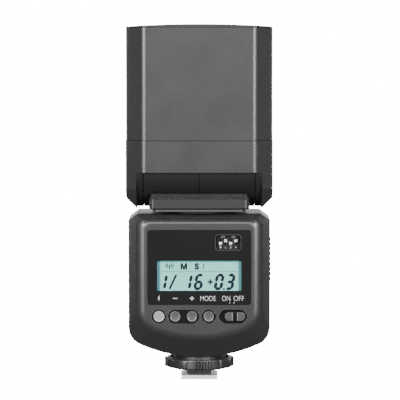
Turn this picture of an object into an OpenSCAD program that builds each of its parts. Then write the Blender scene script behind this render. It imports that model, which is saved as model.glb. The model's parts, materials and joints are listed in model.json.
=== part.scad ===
// Speedlight flash: a shoe-mounted flash with a control body, a turning neck and a tilting lamp head.
// Frame: X to the right seen from the control face, Y towards the front, Z up.
// The origin is the middle of the underside of the shoe foot. The head points straight up.

/* [Body] */
// Width of the body across its sides
body_w = 71; // [70:0.5:86]
// Height of the body casing, from its underside to its flat top
body_h = 72.4; // [72:0.2:88]
// Depth of the body, from the control face to the front face
body_d = 46; // [46:0.5:56]
// Wall thickness of the body covers
body_wall = 2; // [1.8:0.1:2.4]
// Width of the flat control face
face_w = 59.9; // [57:0.1:62]

/* [Control face] */
// Width of the display panel
panel_w = 51.3; // [50:0.1:51.4]
// Height of the display panel
panel_h = 37.2; // [36:0.2:38]
// Width of the display window
lcd_w = 42; // [34:0.5:45]
// Height of the display window
lcd_h = 15.3; // [12:0.1:18]
// Radius of the round push buttons
button_r = 2.8; // [2.3:0.1:3.1]
// Travel of the push buttons
button_travel = 0.8; // [0.4:0.1:0.9]
// Travel of the power switch knob
power_travel = 2.3; // [1.5:0.1:2.6]
// Travel of the channel switch levers
dip_travel = 1.4; // [0.8:0.1:1.8]

/* [Batteries] */
// Diameter of one cell
cell_d = 14.4; // [12:0.1:14.5]
// Length of one cell
cell_l = 50.5; // [42:0.5:50.5]
// Height of the battery door
door_h = 36.4; // [35.5:0.1:37]

/* [Head] */
// Width of the lamp head
head_w = 73.8; // [73:0.2:90]
// Depth of the lamp head, back to front
head_d = 49; // [49:0.2:60]
// Height of the head above the tilt axis
head_h = 69; // [68:0.5:84]
// Wall thickness of the head sleeve
head_wall = 1.8; // [1.5:0.1:2.4]
// Width of the flash window
window_w = 57; // [46:0.5:58]
// Height of the flash window
window_h = 33; // [28:0.5:34]

/* [Neck] */
// Radius of the tilt barrel
barrel_r = 23; // [20:0.5:23.2]
// Length of the tilt barrel
barrel_l = 55.4; // [46:0.2:56]
// Radius of the hollow tilt trunnions
trunnion_r = 9; // [7:0.5:11]
// Radius of the hollow swivel shaft
shaft_r = 10; // [8:0.5:10.5]

/* [Foot] */
// Width of the shoe foot plate
foot_w = 18.6; // [18.5:0.05:18.7]
// Length of the shoe foot plate
foot_l = 18; // [17:0.5:18.5]
// Thickness of the shoe foot plate
foot_t = 2.1; // [1.9:0.05:2.2]
// Width of the foot column that passes between the shoe's rails
column_w = 12.2; // [11:0.1:12.4]
// Radius of the locking wheel
wheel_r = 17.6; // [16.5:0.1:21]
// Height of the locking wheel
wheel_h = 5; // [4.6:0.1:6]
// Free travel of the locking wheel
lock_travel = 2.1; // [1.5:0.1:2.3]
// Radius of the sync plug that the side socket takes
jack_r = 1.75; // [1.25:0.05:1.8]

/* [Hidden] */
$fn = 48;
eps = 0.01;
fit = 0.05;            // running clearance round a shaft
gap = 0.15;            // gap between two covers that meet
slack = 0.3;           // clearance round a piece that moves past another

// Levels, from the foot upwards
shoe_gap = 2.8;        // free height over the foot plate with the wheel screwed up
washer_t = 0.8;
washer_z = foot_t + shoe_gap;
wheel_z = washer_z + washer_t;
wheel_top = wheel_z + wheel_h;
body_z0 = wheel_top + 1.5;
body_z1 = body_z0 + body_h;
swivel_washer_t = 1.1;
flange_z = body_z1 + swivel_washer_t + 0.05;
flange_t = 1.2;
pedestal_z = flange_z + flange_t + 0.1;
barrel_lift = 0.3;     // height of the barrel's underside over the flange
tilt_z = flange_z + flange_t + barrel_lift + barrel_r;
head_top = tilt_z + head_h;

// Depths of the body
rear_y = -24;
front_y = rear_y + body_d;
split_y = rear_y + 9; // where the rear and front covers meet
side_front_y = front_y - 3;
inner_front_y = front_y - body_wall;

// ---- outlines -------------------------------------------------------------------------------

function arc(cx, cy, r, a0, a1, n) =
    [for (i = [0:n]) let (a = a0 + (a1 - a0) * i / n) [cx + r * cos(a), cy + r * sin(a)]];

// A casing outline in X and Z: chamfered top corners, round lower corners and a bowed underside.
function casing(w, z0, z1, chx, chz, rc, bow) =
    let (hw = w / 2, cx = hw - rc, a = asin(cx / (bow - rc)),
         cz = z0 + bow - (bow - rc) * cos(a))
    concat(arc(0, z0 + bow, bow, 270 - a, 270 + a, 10),
           arc(cx, cz, rc, 270 + a, 360, 6),
           [[hw, z1 - chz], [hw - chx, z1], [chx - hw, z1], [-hw, z1 - chz]],
           arc(-cx, cz, rc, 180, 270 - a, 6));

function unit(v) = v / norm(v);

// A convex outline with every corner rounded to the radius r.
function rounded(pts, r, n = 5) =
    let (m = len(pts))
    [for (i = [0:m - 1])
        let (p = pts[i], u = unit(pts[(i + m - 1) % m] - p), v = unit(pts[(i + 1) % m] - p),
             half = acos(u * v) / 2, c = p + unit(u + v) * r / sin(half),
             s = p + u * r / tan(half), e = p + v * r / tan(half),
             a0 = atan2(s[1] - c[1], s[0] - c[0]), a1 = atan2(e[1] - c[1], e[0] - c[0]),
             turn = a1 - a0 > 180 ? a1 - a0 - 360 : a1 - a0 < -180 ? a1 - a0 + 360 : a1 - a0)
        for (k = [0:n]) let (a = a0 + turn * k / n) c + r * [cos(a), sin(a)]];

function box_pts(w, h) = [[-w / 2, -h / 2], [w / 2, -h / 2], [w / 2, h / 2], [-w / 2, h / 2]];

// The head's section: an octagon with long back and front flats.
head_flat = head_w * 0.385;
head_side = head_d * 0.285;
function head_pts(i = 0, r = 4.5) =
    let (a = head_w / 2 - i, b = head_d / 2 - i, f = head_flat - i * 0.35, s = head_side - i * 0.35)
    rounded([[a, -s], [a, s], [f, b], [-f, b], [-a, s], [-a, -s], [-f, -b], [f, -b]], r);

// ---- helpers ----------------------------------------------------------------------------------

// An outline in X and Z, from y0 to y1.
module xz(pts, y0, y1) {
    translate([0, y1, 0]) rotate([90, 0, 0]) linear_extrude(y1 - y0) polygon(pts);
}

// An outline in Y and Z, from x0 to x1.
module yz(pts, x0, x1) {
    translate([x0, 0, 0]) rotate([90, 0, 90]) linear_extrude(x1 - x0) polygon(pts);
}

module xy(pts, z0, z1) {
    translate([0, 0, z0]) linear_extrude(z1 - z0) polygon(pts);
}

// A cylinder along X from x0 to x1.
module rod_x(r, x0, x1, y = 0, z = 0) {
    translate([x0, y, z]) rotate([0, 90, 0]) cylinder(r = r, h = x1 - x0);
}

// A cylinder along Y from y0 to y1.
module rod_y(r, y0, y1, x = 0, z = 0) {
    translate([x, y1, z]) rotate([90, 0, 0]) cylinder(r = r, h = y1 - y0);
}

// A cylinder along Z from z0 to z1.
module rod_z(r, z0, z1, x = 0, y = 0) {
    translate([x, y, z0]) cylinder(r = r, h = z1 - z0);
}

module block(x0, x1, y0, y1, z0, z1) {
    translate([x0, y0, z0]) cube([x1 - x0, y1 - y0, z1 - z0]);
}

// A plate in X and Z with rounded corners, centred on x and z.
module plate_xz(w, h, r, y0, y1, x = 0, z = 0) {
    translate([x, 0, z]) xz(rounded(box_pts(w, h), r), y0, y1);
}

// A slot shape in X and Z with round ends, centred on x and z.
module slot_xz(w, h, y0, y1, x, z) {
    block(x - w / 2 + h / 2, x + w / 2 - h / 2, y0, y1, z - h / 2, z + h / 2);
    for (s = [-1, 1]) rod_y(h / 2, y0, y1, x + s * (w - h) / 2, z);
}

// A cross-head screw along -Y, with its head's outer face at y.
module screw_y(x, y, z, r, length) {
    difference() {
        union() {
            rod_y(r, y - 0.9, y, x, z);
            rod_y(r * 0.55, y - length, y - 0.9, x, z);
        }
        block(x - r * 0.6, x + r * 0.6, y - 0.5, y + 1, z - r * 0.14, z + r * 0.14);
        block(x - r * 0.14, x + r * 0.14, y - 0.5, y + 1, z - r * 0.6, z + r * 0.6);
    }
}

// ---- body covers ------------------------------------------------------------------------------

top_ch_x = 4.6;
top_ch_z = 3.4;
face_z0 = body_z0 + 9.7;
face_z1 = body_z1 - 4.7;
edge_r = 6.5;             // radius of the control face's rounded sides and bottom
edge_turn = 57;           // angle between the control face and its sloping sides
edge_steps = 6;
edge_reach = edge_r * tan(edge_turn / 2);
brow_r = 2.2;             // radius of the control face's upper edge
brow_turn = 70;           // angle between the control face and the slope above it
brow_depth = brow_r * (1 - cos(brow_turn));

function side_pts(i = 0) =
    casing(body_w - 2 * i, body_z0 + i, body_z1 - i, top_ch_x, top_ch_z, 9.4 - i, 72 - i);
// How far the outline has risen above the control face's upper edge at a depth behind the face.
function brow_rise(depth) =
    depth < brow_depth ? sqrt(pow(brow_r, 2) - pow(brow_r - depth, 2))
                       : brow_r * sin(brow_turn) + (depth - brow_depth) / tan(brow_turn);
function face_pts(i, depth) =
    casing(face_w - 2 * i, face_z0 + i, face_z1 + brow_rise(depth), 2.4, 2.4, 8 + edge_reach - i, 66 - i);

module body_form() {
    hull() {
        for (k = [0:edge_steps]) let (a = edge_turn * k / edge_steps, depth = edge_r * (1 - cos(a)))
            xz(face_pts(edge_reach - edge_r * sin(a), depth), rear_y + depth, rear_y + depth + eps);
        xz(side_pts(), split_y, side_front_y);
        xz(side_pts(1), front_y - 0.9, front_y - 0.89);
        xz(side_pts(3), front_y - eps, front_y);
    }
}

module body_cavity() {
    hull() {
        xz(face_pts(edge_reach + 0.4, 0), rear_y + body_wall, rear_y + body_wall + eps);
        xz(side_pts(body_wall), split_y, side_front_y - body_wall * 0.5);
        xz(side_pts(body_wall + 1.5), inner_front_y - eps, inner_front_y);
    }
}

// Control face layout
panel_z = face_z1 - 3 - panel_h / 2;
panel_t = 0.9;
lcd_z = panel_z - 4.1;
dip_x = lcd_w / 2 - 6.6;
dip_z = panel_z + panel_h / 2 - 6.1;
dip_w = 13;
dip_h = 8;
row_z = panel_z - panel_h / 2 - 6;
test_x = -20.1;
minus_x = -12;
plus_x = -3.6;
mode_x = 4.75;
power_x = 16.8;
well_r = button_r + 0.8;
power_well_w = 14;
power_knob_w = 10.3;
power_slot_w = power_well_w - 0.8;
power_knob_x = power_x + power_slot_w / 2 - 0.45 - power_knob_w / 2;
button_xs = [test_x, minus_x, plus_x, mode_x];

// The wells in the rear cover that the button bezel fills, grown by g.
module wells(y0, y1, g) {
    for (x = [test_x, mode_x]) rod_y(well_r + g, y0, y1, x, row_z);
    slot_xz(plus_x - minus_x + 2 * well_r + 2 * g, 2 * well_r + 2 * g, y0, y1, (plus_x + minus_x) / 2, row_z);
    slot_xz(power_well_w + 2 * g, 2 * well_r + 2 * g, y0, y1, power_x, row_z);
}

// Where the cover screws stand
screw_x = body_w / 2 - 9;
screw_zs = [body_z0 + 14.5, body_z1 - 7];
screw_tip = split_y - 2.4;
screw_r = 2.2;

neck_r = 13.5;
swivel_hole_r = shaft_r + 3;

module rear_cover() color("#58585a") intersection() {
    body_form();
    difference() {
        union() {
            difference() {
                block(-body_w, body_w, rear_y - 1, split_y - gap / 2, 0, body_z1 + 1);
                body_cavity();
            }
            // posts that take the cover screws
            for (sx = [-1, 1], z = screw_zs) rod_y(3, split_y - 4.2, split_y - gap / 2, sx * screw_x, z);
        }
        for (sx = [-1, 1], z = screw_zs)
            rod_y(screw_r * 0.55 + 0.1, screw_tip - 0.2, split_y + 1, sx * screw_x, z);
        plate_xz(panel_w + 2 * gap, panel_h + 2 * gap, 1.4, rear_y - 1, rear_y + panel_t, 0, panel_z);
        plate_xz(lcd_w, lcd_h, 0.5, rear_y - 1, rear_y + 5, 0, lcd_z);
        plate_xz(dip_w, dip_h, 1.6, rear_y - 1, rear_y + 5, dip_x, dip_z);
        wells(rear_y - 1, rear_y + 5, 0);
        rod_z(neck_r + gap, 0, body_z0 + 8);
    }
}

// Battery door opening in the +X side
door_z0 = body_z1 - 46;
door_z1 = door_z0 + door_h;
door_y0 = split_y + 0.6;
door_y1 = side_front_y - 0.6;
door_t = 1.8;
side_x = body_w / 2;

// Sensor window in the front
sensor_w = 40;
sensor_h = 21;
sensor_z = body_z0 + 21.5;

// Sync socket on the -X side
jack_z = body_z0 + 23;
jack_y = 3;
jack_l = 11;
jack_ring_r = 3.6;

module front_cover() color("#48484a") {
    difference() {
        union() {
            intersection() {
                body_form();
                block(-body_w, body_w, split_y + gap / 2, front_y + 1, 0, body_z1 + 1);
            }
            // flare down to the neck
            intersection() {
                rotate_extrude() polygon(concat(
                    [[0, body_z0 + 3], [0, body_z0 - 0.2], [neck_r + 0.2, body_z0 - 0.2]],
                    arc(neck_r + 3.4, body_z0 - 0.2, 3.2, 180, 100, 6),
                    [[neck_r + 3.4, body_z0 + 3]]));
                block(-neck_r * 2, neck_r * 2, split_y + gap / 2, neck_r * 2, body_z0 - 1, body_z0 + 3.1);
            }
        }
        body_cavity();
        block(side_x - body_wall - 3, side_x + 1, door_y0 - 0.2, door_y1 + 0.2, door_z0 - 0.2, door_z1 + 0.2);
        plate_xz(sensor_w, sensor_h, 4, inner_front_y - 1, front_y + 1, 0, sensor_z);
        rod_z(neck_r + gap, 0, body_z0 + 8);
        rod_z(swivel_hole_r, body_z1 - body_wall - 1, body_z1 + 1);
        for (sx = [-1, 1], z = screw_zs) {
            rod_y(screw_r + 0.1, front_y - 1.6, front_y + 1, sx * screw_x, z);
            rod_y(screw_r * 0.55 + 0.1, front_y - 4, front_y, sx * screw_x, z);
        }
        rod_x(jack_ring_r + gap, -side_x - 1, -side_x + 5, jack_y, jack_z);
    }
    // ears that carry the door pin
    for (z = [door_z0, door_z1 - ear_h])
        difference() {
            union() {
                rod_z(knuckle_r, z, z + ear_h, pin_x, pin_y);
                block(side_x - body_wall, pin_x, pin_y, door_y1 + 0.4, z, z + ear_h);
            }
            rod_z(pin_r + 0.02, z - 1, z + ear_h + 1, pin_x, pin_y);
        }
    // long posts that the cover screws run through
    for (sx = [-1, 1], z = screw_zs)
        difference() {
            rod_y(3, split_y + gap / 2, front_y - 1.6, sx * screw_x, z);
            rod_y(screw_r * 0.55 + 0.1, split_y - 1, front_y, sx * screw_x, z);
            rod_y(screw_r + 0.1, front_y - 1.6, front_y + 1, sx * screw_x, z);
        }
}

module body_screws() color("dimgray") {
    for (sx = [-1, 1], z = screw_zs)
        screw_y(sx * screw_x, front_y - 0.7, z, screw_r, front_y - 0.7 - screw_tip);
}

// ---- control face -----------------------------------------------------------------------------

module control_panel() color("#202124") difference() {
    plate_xz(panel_w, panel_h, 1.3, rear_y + 0.02, rear_y + panel_t - 0.02, 0, panel_z);
    plate_xz(lcd_w, lcd_h, 0.5, rear_y - 1, rear_y + 5, 0, lcd_z);
    plate_xz(dip_w, dip_h, 1.6, rear_y - 1, rear_y + 5, dip_x, dip_z);
}

lcd_y = rear_y + body_wall + 0.05;
lcd_t = 1.8;
light_t = 1.6;
board_y = rear_y + 6.1;
board_t = 1.6;

module lcd_glass() color("#a0c8c0") {
    plate_xz(lcd_w + 3.6, lcd_h + 3.2, 0.5, lcd_y, lcd_y + lcd_t, 0, lcd_z);
}

module lcd_backlight() color("#e8f0ec") {
    plate_xz(lcd_w + 4, lcd_h + 3.6, 0.5, lcd_y + lcd_t + 0.05, lcd_y + lcd_t + light_t, 0, lcd_z);
    for (s = [-1, 1]) rod_y(0.9, lcd_y + lcd_t + light_t - 0.1, board_y, s * lcd_w * 0.45, lcd_z);
}

bezel_y = rear_y + body_wall + 0.05;   // back of the rear cover's wall
bezel_t = 0.8;
well_floor = rear_y + 0.7;             // how deep the black ring round each button lies
power_floor = rear_y + 1.5;

module button_bezel() color("#151516") difference() {
    union() {
        slot_xz(power_x + power_well_w / 2 - test_x + well_r + 0.8, 2 * well_r + 0.8,
                bezel_y, bezel_y + bezel_t,
                (power_x + power_well_w / 2 + test_x - well_r) / 2, row_z);
        wells(well_floor, bezel_y + 0.2, -0.1);
    }
    for (x = button_xs) rod_y(button_r + 0.15, rear_y - 1, rear_y + 5, x, row_z);
    slot_xz(power_slot_w, 2 * well_r - 1.2, rear_y - 1, power_floor, power_x, row_z);
    block(power_knob_x - power_travel - 2.4, power_knob_x + 2.4, rear_y - 1, rear_y + 5,
          row_z - 1.3, row_z + 1.3);
}

button_back = board_y - 1.6 - button_travel;   // rear of a button's collar

module push_button(x, r, proud) {
    rod_y(r, rear_y - proud, bezel_y + bezel_t + 0.1, x, row_z);
    rod_y(r + 0.6, bezel_y + bezel_t + 0.05, bezel_y + bezel_t + 0.6, x, row_z);
    rod_y(1.2, bezel_y + bezel_t + 0.5, button_back, x, row_z);
}

module test_button() color("#d8d8da") push_button(test_x, button_r, 0.55);
module minus_button() color("#66686a") push_button(minus_x, button_r, 0.45);
module plus_button() color("#66686a") push_button(plus_x, button_r, 0.45);
module mode_button() color("#66686a") push_button(mode_x, button_r, 0.45);

module power_knob() color("#57595b") difference() {
    union() {
        slot_xz(power_knob_w, 4.4, rear_y - 0.1, power_floor - 0.1, power_knob_x, row_z);
        block(power_knob_x - 2, power_knob_x + 2, power_floor - 0.2, board_y - 1.2, row_z - 1.1, row_z + 1.1);
    }
    block(power_knob_x - 1, power_knob_x + 1, rear_y - 1, rear_y + 0.6, row_z - 3, row_z + 3);
}

module board_switches() color("#2c2c2e") {
    for (x = button_xs) {
        block(x - 3, x + 3, board_y - 1.2, board_y, row_z - 3, row_z + 3);
        rod_y(1.5, button_back + button_travel + 0.05, board_y - 1.1, x, row_z);
    }
    difference() {
        block(power_x - 6.5, power_x + 6, board_y - 2.2, board_y, row_z - 2.6, row_z + 2.6);
        block(power_knob_x - power_travel - 2.4, power_knob_x + 2.4, board_y - 3, board_y - 1,
              row_z - 1.3, row_z + 1.3);
    }
}

dip_pitch = 2.54;
dip_y = rear_y + 2.6;
dip_case_h = dip_h - 0.6;
dip_case_w = 4 * dip_pitch + 1.2;
lever_w = 1.3;
lever_h = 1.3;
lever_slot_h = lever_h + dip_travel + 0.2;
function lever_x(i) = dip_x + (i - 2.5) * dip_pitch;
// odd levers rest at the bottom of their slots, even ones at the top
function lever_z(i) = dip_z + (i % 2 == 1 ? -1 : 1) * dip_travel / 2;

module dip_switch() color("#19191b") difference() {
    block(dip_x - dip_case_w / 2, dip_x + dip_case_w / 2, dip_y, board_y,
          dip_z - dip_case_h / 2, dip_z + dip_case_h / 2);
    for (i = [1:4])
        block(lever_x(i) - lever_w / 2 - 0.1, lever_x(i) + lever_w / 2 + 0.1, dip_y - 1, dip_y + 1.6,
              dip_z - lever_slot_h / 2, dip_z + lever_slot_h / 2);
}

module dip_lever(i) color("white") {
    block(lever_x(i) - lever_w / 2, lever_x(i) + lever_w / 2, dip_y - 0.7, dip_y + 1.5,
          lever_z(i) - lever_h / 2, lever_z(i) + lever_h / 2);
}

board_half = screw_x - 3.5;        // clears the screw posts
module main_board() color("#1f5a34") {
    y = board_y + board_t;
    block(-board_half, board_half, board_y, y, row_z - 5, body_z1 - body_wall - 3);
    block(-9, 1, y - eps, y + 1.6, dip_z - 8, dip_z + 2);
    block(6, 12, y - eps, y + 1.4, dip_z - 3, dip_z + 1);
    block(-22, -16, y - eps, y + 1.4, lcd_z - 3, lcd_z + 3);
    for (i = [0:4]) block(-20 + i * 4, -18 + i * 4, y - eps, y + 0.8, dip_z - 12, dip_z - 10.8);
}

module transformer() color("#c9a227") {
    y = board_y + board_t;
    block(9, 21, y, y + 2.2, row_z - 4.6, row_z + 5.2);
    rod_y(4.4, y + 2.1, y + 7, 15, row_z + 0.3);
    block(9, 21, y + 6.9, y + 8.2, row_z - 4.6, row_z + 5.2);
}

// ---- power --------------------------------------------------------------------------------------

cap_r = 10.3;
cap_l = 40;
cap_y = inner_front_y - cap_r - 5.2;
cap_z = body_z0 + 6 + cap_r;

module main_capacitor() color("#1c1c22") {
    rod_x(cap_r, -cap_l / 2, cap_l / 2 - 2.5, cap_y, cap_z);
    rod_x(cap_r - 0.8, cap_l / 2 - 2.6, cap_l / 2 - 1.8, cap_y, cap_z);
    rod_x(cap_r, cap_l / 2 - 1.9, cap_l / 2, cap_y, cap_z);
}

case_wall = 1.2;
cell_gap = 0.3;
case_mid_y = (door_y0 + door_y1) / 2 + 1.35;
case_mid_z = (door_z0 + door_z1) / 2;
case_h = 2 * case_wall + 2 * cell_d + 3 * cell_gap;
case_y0 = case_mid_y - case_h / 2;
case_y1 = case_mid_y + case_h / 2;
cell_x1 = side_x - 8.2;
cell_x0 = cell_x1 - cell_l;
spring_l = 3.4;
case_x0 = cell_x0 - spring_l - 0.5 - case_wall;
case_x1 = side_x - 6.2;
cell_offset = (cell_d + cell_gap) / 2;

module battery_case() color("#2a2a2c") difference() {
    block(case_x0, case_x1, case_y0, case_y1, case_mid_z - case_h / 2, case_mid_z + case_h / 2);
    block(case_x0 + case_wall, case_x1 + 1, case_y0 + case_wall, case_y1 - case_wall,
          case_mid_z - case_h / 2 + case_wall, case_mid_z + case_h / 2 - case_wall);
}

module battery_cells() color("#8a8d90") {
    for (sy = [-1, 1], sz = [-1, 1]) {
        nub = sy * sz > 0 ? 1 : -1;
        y = case_mid_y + sy * cell_offset;
        z = case_mid_z + sz * cell_offset;
        rod_x(cell_d / 2, cell_x0 + (nub < 0 ? 1 : 0), cell_x1 - (nub > 0 ? 1 : 0), y, z);
        if (nub > 0) rod_x(2.6, cell_x1 - 1.1, cell_x1, y, z);
        else rod_x(2.6, cell_x0, cell_x0 + 1.1, y, z);
    }
}

// Contact spring that narrows towards the cell, as its separate turns
module contact_coil(x0, y, z) {
    for (i = [0:2]) translate([x0 + 0.35 + i * (spring_l - 0.7) / 2, y, z]) rotate([0, 90, 0])
        rotate_extrude() translate([3.6 - i * 0.6, 0]) circle(r = 0.34);
    rod_x(0.34, x0, x0 + spring_l, y + 2.9, z);
}

module case_contacts() color("#c8c9cc") {
    for (sz = [-1, 1])
        block(cell_x0 - spring_l - 0.45, cell_x0 - spring_l - 0.05,
              case_mid_y - cell_d + 1, case_mid_y + cell_d - 1,
              case_mid_z + sz * cell_offset - 5, case_mid_z + sz * cell_offset + 5);
    for (sy = [-1, 1], sz = [-1, 1])
        contact_coil(cell_x0 - spring_l - 0.1, case_mid_y + sy * cell_offset, case_mid_z + sz * cell_offset);
}

// ---- battery door -------------------------------------------------------------------------------

pin_r = 0.6;
knuckle_r = 0.9;
pin_x = side_x - knuckle_r;
pin_y = door_y1 - knuckle_r;
ear_h = 3;
rib_h = 0.45;
tray_lip = 3;                           // from the door's ends to the inside of its tray

module battery_door() color("#4a4a4c") difference() {
    union() {
        block(side_x - door_t, side_x, door_y0, pin_y, door_z0, door_z1);
        rod_z(knuckle_r, door_z0 + ear_h + 0.2, door_z1 - ear_h - 0.2, pin_x, pin_y);
        // inner tray that holds the contact bridges
        block(side_x - 5.6, side_x - door_t + eps, door_y0 + 1.2, pin_y - 3.4, door_z0 + 2.4, door_z1 - 2.4);
        // thumb ribs
        for (i = [0:8])
            block(side_x - eps, side_x + rib_h, door_y0 + 1.4, pin_y - 4,
                  door_z1 - 4.2 - i * 2.5, door_z1 - 3 - i * 2.5);
    }
    rod_z(pin_r + fit, 0, body_z1, pin_x, pin_y);
    for (z = [door_z0 - 1, door_z1 - ear_h - 0.2])
        block(side_x - 3, side_x + 1, pin_y - 2.2, pin_y + 3, z, z + ear_h + 1.2);
    block(side_x - 6, side_x - 3.4, door_y0 + 1.7, pin_y - 3.9, door_z0 + tray_lip, door_z1 - tray_lip);
}

module door_contacts() color("#c8c9cc") {
    for (sy = [-1, 1])
        block(side_x - 5.2, side_x - 4.8, case_mid_y + sy * cell_offset - 2.7, case_mid_y + sy * cell_offset + 2.7,
              door_z0 + tray_lip, door_z1 - tray_lip);
    for (sy = [-1, 1], sz = [-1, 1])
        rod_x(2.6, cell_x1 + 0.1, side_x - 5.1, case_mid_y + sy * cell_offset, case_mid_z + sz * cell_offset);
}

module door_pin() color("silver") rod_z(pin_r, door_z0, door_z1, pin_x, pin_y);

// ---- sensor and sync port -----------------------------------------------------------------------

module sensor_window() color("#3a0a0e") {
    plate_xz(sensor_w - 2 * gap, sensor_h - 2 * gap, 3.8, inner_front_y + 0.1, front_y + 0.1, 0, sensor_z);
}

module sync_socket() color("#b9babd") difference() {
    union() {
        rod_x(jack_ring_r, -side_x, -side_x + 2.2, jack_y, jack_z);
        block(-side_x + 2.1, -side_x + jack_l, jack_y - 3.4, jack_y + 3.4, jack_z - 3.4, jack_z + 3.4);
    }
    rod_x(jack_r, -side_x - 1, -side_x + jack_l - 1, jack_y, jack_z);
}

// ---- foot ---------------------------------------------------------------------------------------

stem_r = 8;
column_l = foot_l - 6;
contact_r = 1.4;
contact_collar_r = 2.2;
contact_travel = 0.6;
foot_screw_x = 3.9;
foot_screw_y = 4.4;

module foot_neck() color("#343436") difference() {
    rod_z(neck_r, wheel_top - 1.2, body_z0 + body_wall + 2);
    rod_z(stem_r + 0.02, wheel_top - 2, body_z0 + body_wall + 3);
}

module foot_column() color("#232325") difference() {
    union() {
        block(-column_w / 2, column_w / 2, -column_l / 2, column_l / 2, foot_t, wheel_z);
        rod_z(stem_r, wheel_z - eps, body_z0 + body_wall + 2);
        // the plastic that fills the plate round the contact
        rod_z(3.35, 0.02, foot_t + eps);
    }
    rod_z(contact_r + fit, -1, wheel_top);
    rod_z(contact_collar_r + 0.2, foot_t + 1.4, wheel_top);
    for (sx = [-1, 1], sy = [-1, 1]) rod_z(0.9, foot_t - 1, foot_t + 2.6, sx * foot_screw_x, sy * foot_screw_y);
}

module foot_plate() color("#d9dadc") difference() {
    xy(rounded(box_pts(foot_w, foot_l), 0.8, 3), 0, foot_t);
    rod_z(3.4, -1, foot_t + 1);
    for (sx = [-1, 1], sy = [-1, 1]) {
        rod_z(0.95, -1, foot_t + 1, sx * foot_screw_x, sy * foot_screw_y);
        rod_z(1.7, -1, 0.9, sx * foot_screw_x, sy * foot_screw_y);
    }
}

module foot_screws() color("gray") {
    for (sx = [-1, 1], sy = [-1, 1]) difference() {
        union() {
            rod_z(1.6, 0.1, 0.85, sx * foot_screw_x, sy * foot_screw_y);
            rod_z(0.85, 0.8, foot_t + 2.5, sx * foot_screw_x, sy * foot_screw_y);
        }
        translate([sx * foot_screw_x, sy * foot_screw_y, 0]) {
            block(-1, 1, -0.2, 0.2, -1, 0.5);
            block(-0.2, 0.2, -1, 1, -1, 0.5);
        }
    }
}

module contact_pin() color("#d4af37") {
    rod_z(contact_r, 0, foot_t + 3);
    rod_z(contact_collar_r, foot_t + 1.45, foot_t + 2.3);
}

// The spring over the contact, as its separate turns
module contact_spring() color("silver") {
    z0 = foot_t + 2.3 + contact_travel + 0.3;
    for (i = [0:5]) translate([0, 0, z0 + i * (wheel_top - 0.25 - z0) / 5])
        rotate_extrude() translate([1.95, 0]) circle(r = 0.2);
}

sleeve_r = 10.4;
module lock_washer() color("#77787a") difference() {
    union() {
        rod_z(13, washer_z, wheel_z - 0.02);
        rod_z(sleeve_r, washer_z, wheel_z + lock_travel);
    }
    block(-column_w / 2 - 0.1, column_w / 2 + 0.1, -column_l / 2 - 0.1, column_l / 2 + 0.1, 0, body_z0);
    rod_z(sleeve_r - 1.3, wheel_z - 0.02, body_z0);
}

wheel_lobes = 8;
module lock_wheel() color("#29292b") difference() {
    union() {
        rod_z(wheel_r - 0.7, wheel_z, wheel_top);
        // ribbed grips alternate with smooth ones round the rim
        for (i = [0:wheel_lobes - 1]) rotate(i * 360 / wheel_lobes + 8) {
            if (i % 2 == 0)
                for (k = [-3:3]) rotate(k * 4.6)
                    block(wheel_r - 1.6, wheel_r, -0.42, 0.42, wheel_z + 0.3, wheel_top - 0.3);
            else
                rotate(-17) rotate_extrude(angle = 34)
                    translate([wheel_r - 2, wheel_z + 0.2]) square([1.75, wheel_h - 0.4]);
        }
    }
    rod_z(stem_r + fit, 0, body_z0 + 5);
    rod_z(neck_r + 1.2, wheel_top - 1.6, body_z0 + 5);
    rod_z(sleeve_r + 0.2, 0, wheel_z + lock_travel + 0.2);
}

// ---- neck ---------------------------------------------------------------------------------------

pedestal_w = barrel_l - 5.4;
pedestal_d = 45;
pedestal_h = 7.6;
pedestal_ch = 2.6;
flange_w = pedestal_w - 3.4;
flange_d = 42.4;
retainer_z = body_z1 - body_wall - 3;

module swivel_washer() color("#202022") difference() {
    rod_z(shaft_r + 9, body_z1, body_z1 + swivel_washer_t);
    rod_z(shaft_r + fit, body_z1 - 1, body_z1 + 5);
}

module swivel_bush() color("#b8b9bb") difference() {
    union() {
        rod_z(swivel_hole_r - 0.05, body_z1 - body_wall - 0.05, body_z1 - 0.05);
        rod_z(swivel_hole_r + 1.4, body_z1 - body_wall - 1.4, body_z1 - body_wall - 0.05);
    }
    rod_z(shaft_r + fit, 0, body_z1 + 5);
}

module swivel_shaft() color("#2f2f31") difference() {
    union() {
        rod_z(shaft_r, retainer_z - 2.2, flange_z + eps);
        xy(rounded(box_pts(flange_w, flange_d), 3), flange_z, flange_z + flange_t);
    }
    rod_z(shaft_r - 2.4, 0, tilt_z);
    difference() {
        rod_z(shaft_r + 1, retainer_z - 1.2, retainer_z);
        rod_z(shaft_r - 1, 0, tilt_z);
    }
}

module swivel_clip() color("silver") difference() {
    rod_z(shaft_r + 2.6, retainer_z - 1.1, retainer_z - 0.1);
    rod_z(shaft_r - 0.95, 0, tilt_z);
    block(-3, 3, 0, shaft_r * 2, retainer_z - 2, retainer_z + 1);
}

module neck_pedestal() color("#565658") difference() {
    hull() {
        xy(rounded(box_pts(pedestal_w - 1.6, pedestal_d - 1.6), 2), pedestal_z, pedestal_z + eps);
        xy(rounded(box_pts(pedestal_w, pedestal_d), 2.4),
           pedestal_z + 0.6, pedestal_z + pedestal_h - pedestal_ch);
        xy(rounded(box_pts(pedestal_w - 1.8, pedestal_d - 2 * pedestal_ch), 2),
           pedestal_z + pedestal_h - eps, pedestal_z + pedestal_h);
    }
    rod_x(barrel_r + fit, -pedestal_w, pedestal_w, 0, tilt_z);
    rod_z(shaft_r - 2.4, 0, tilt_z);
}

barrel_wall = 2;
barrel_end_t = 2.5;

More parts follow.
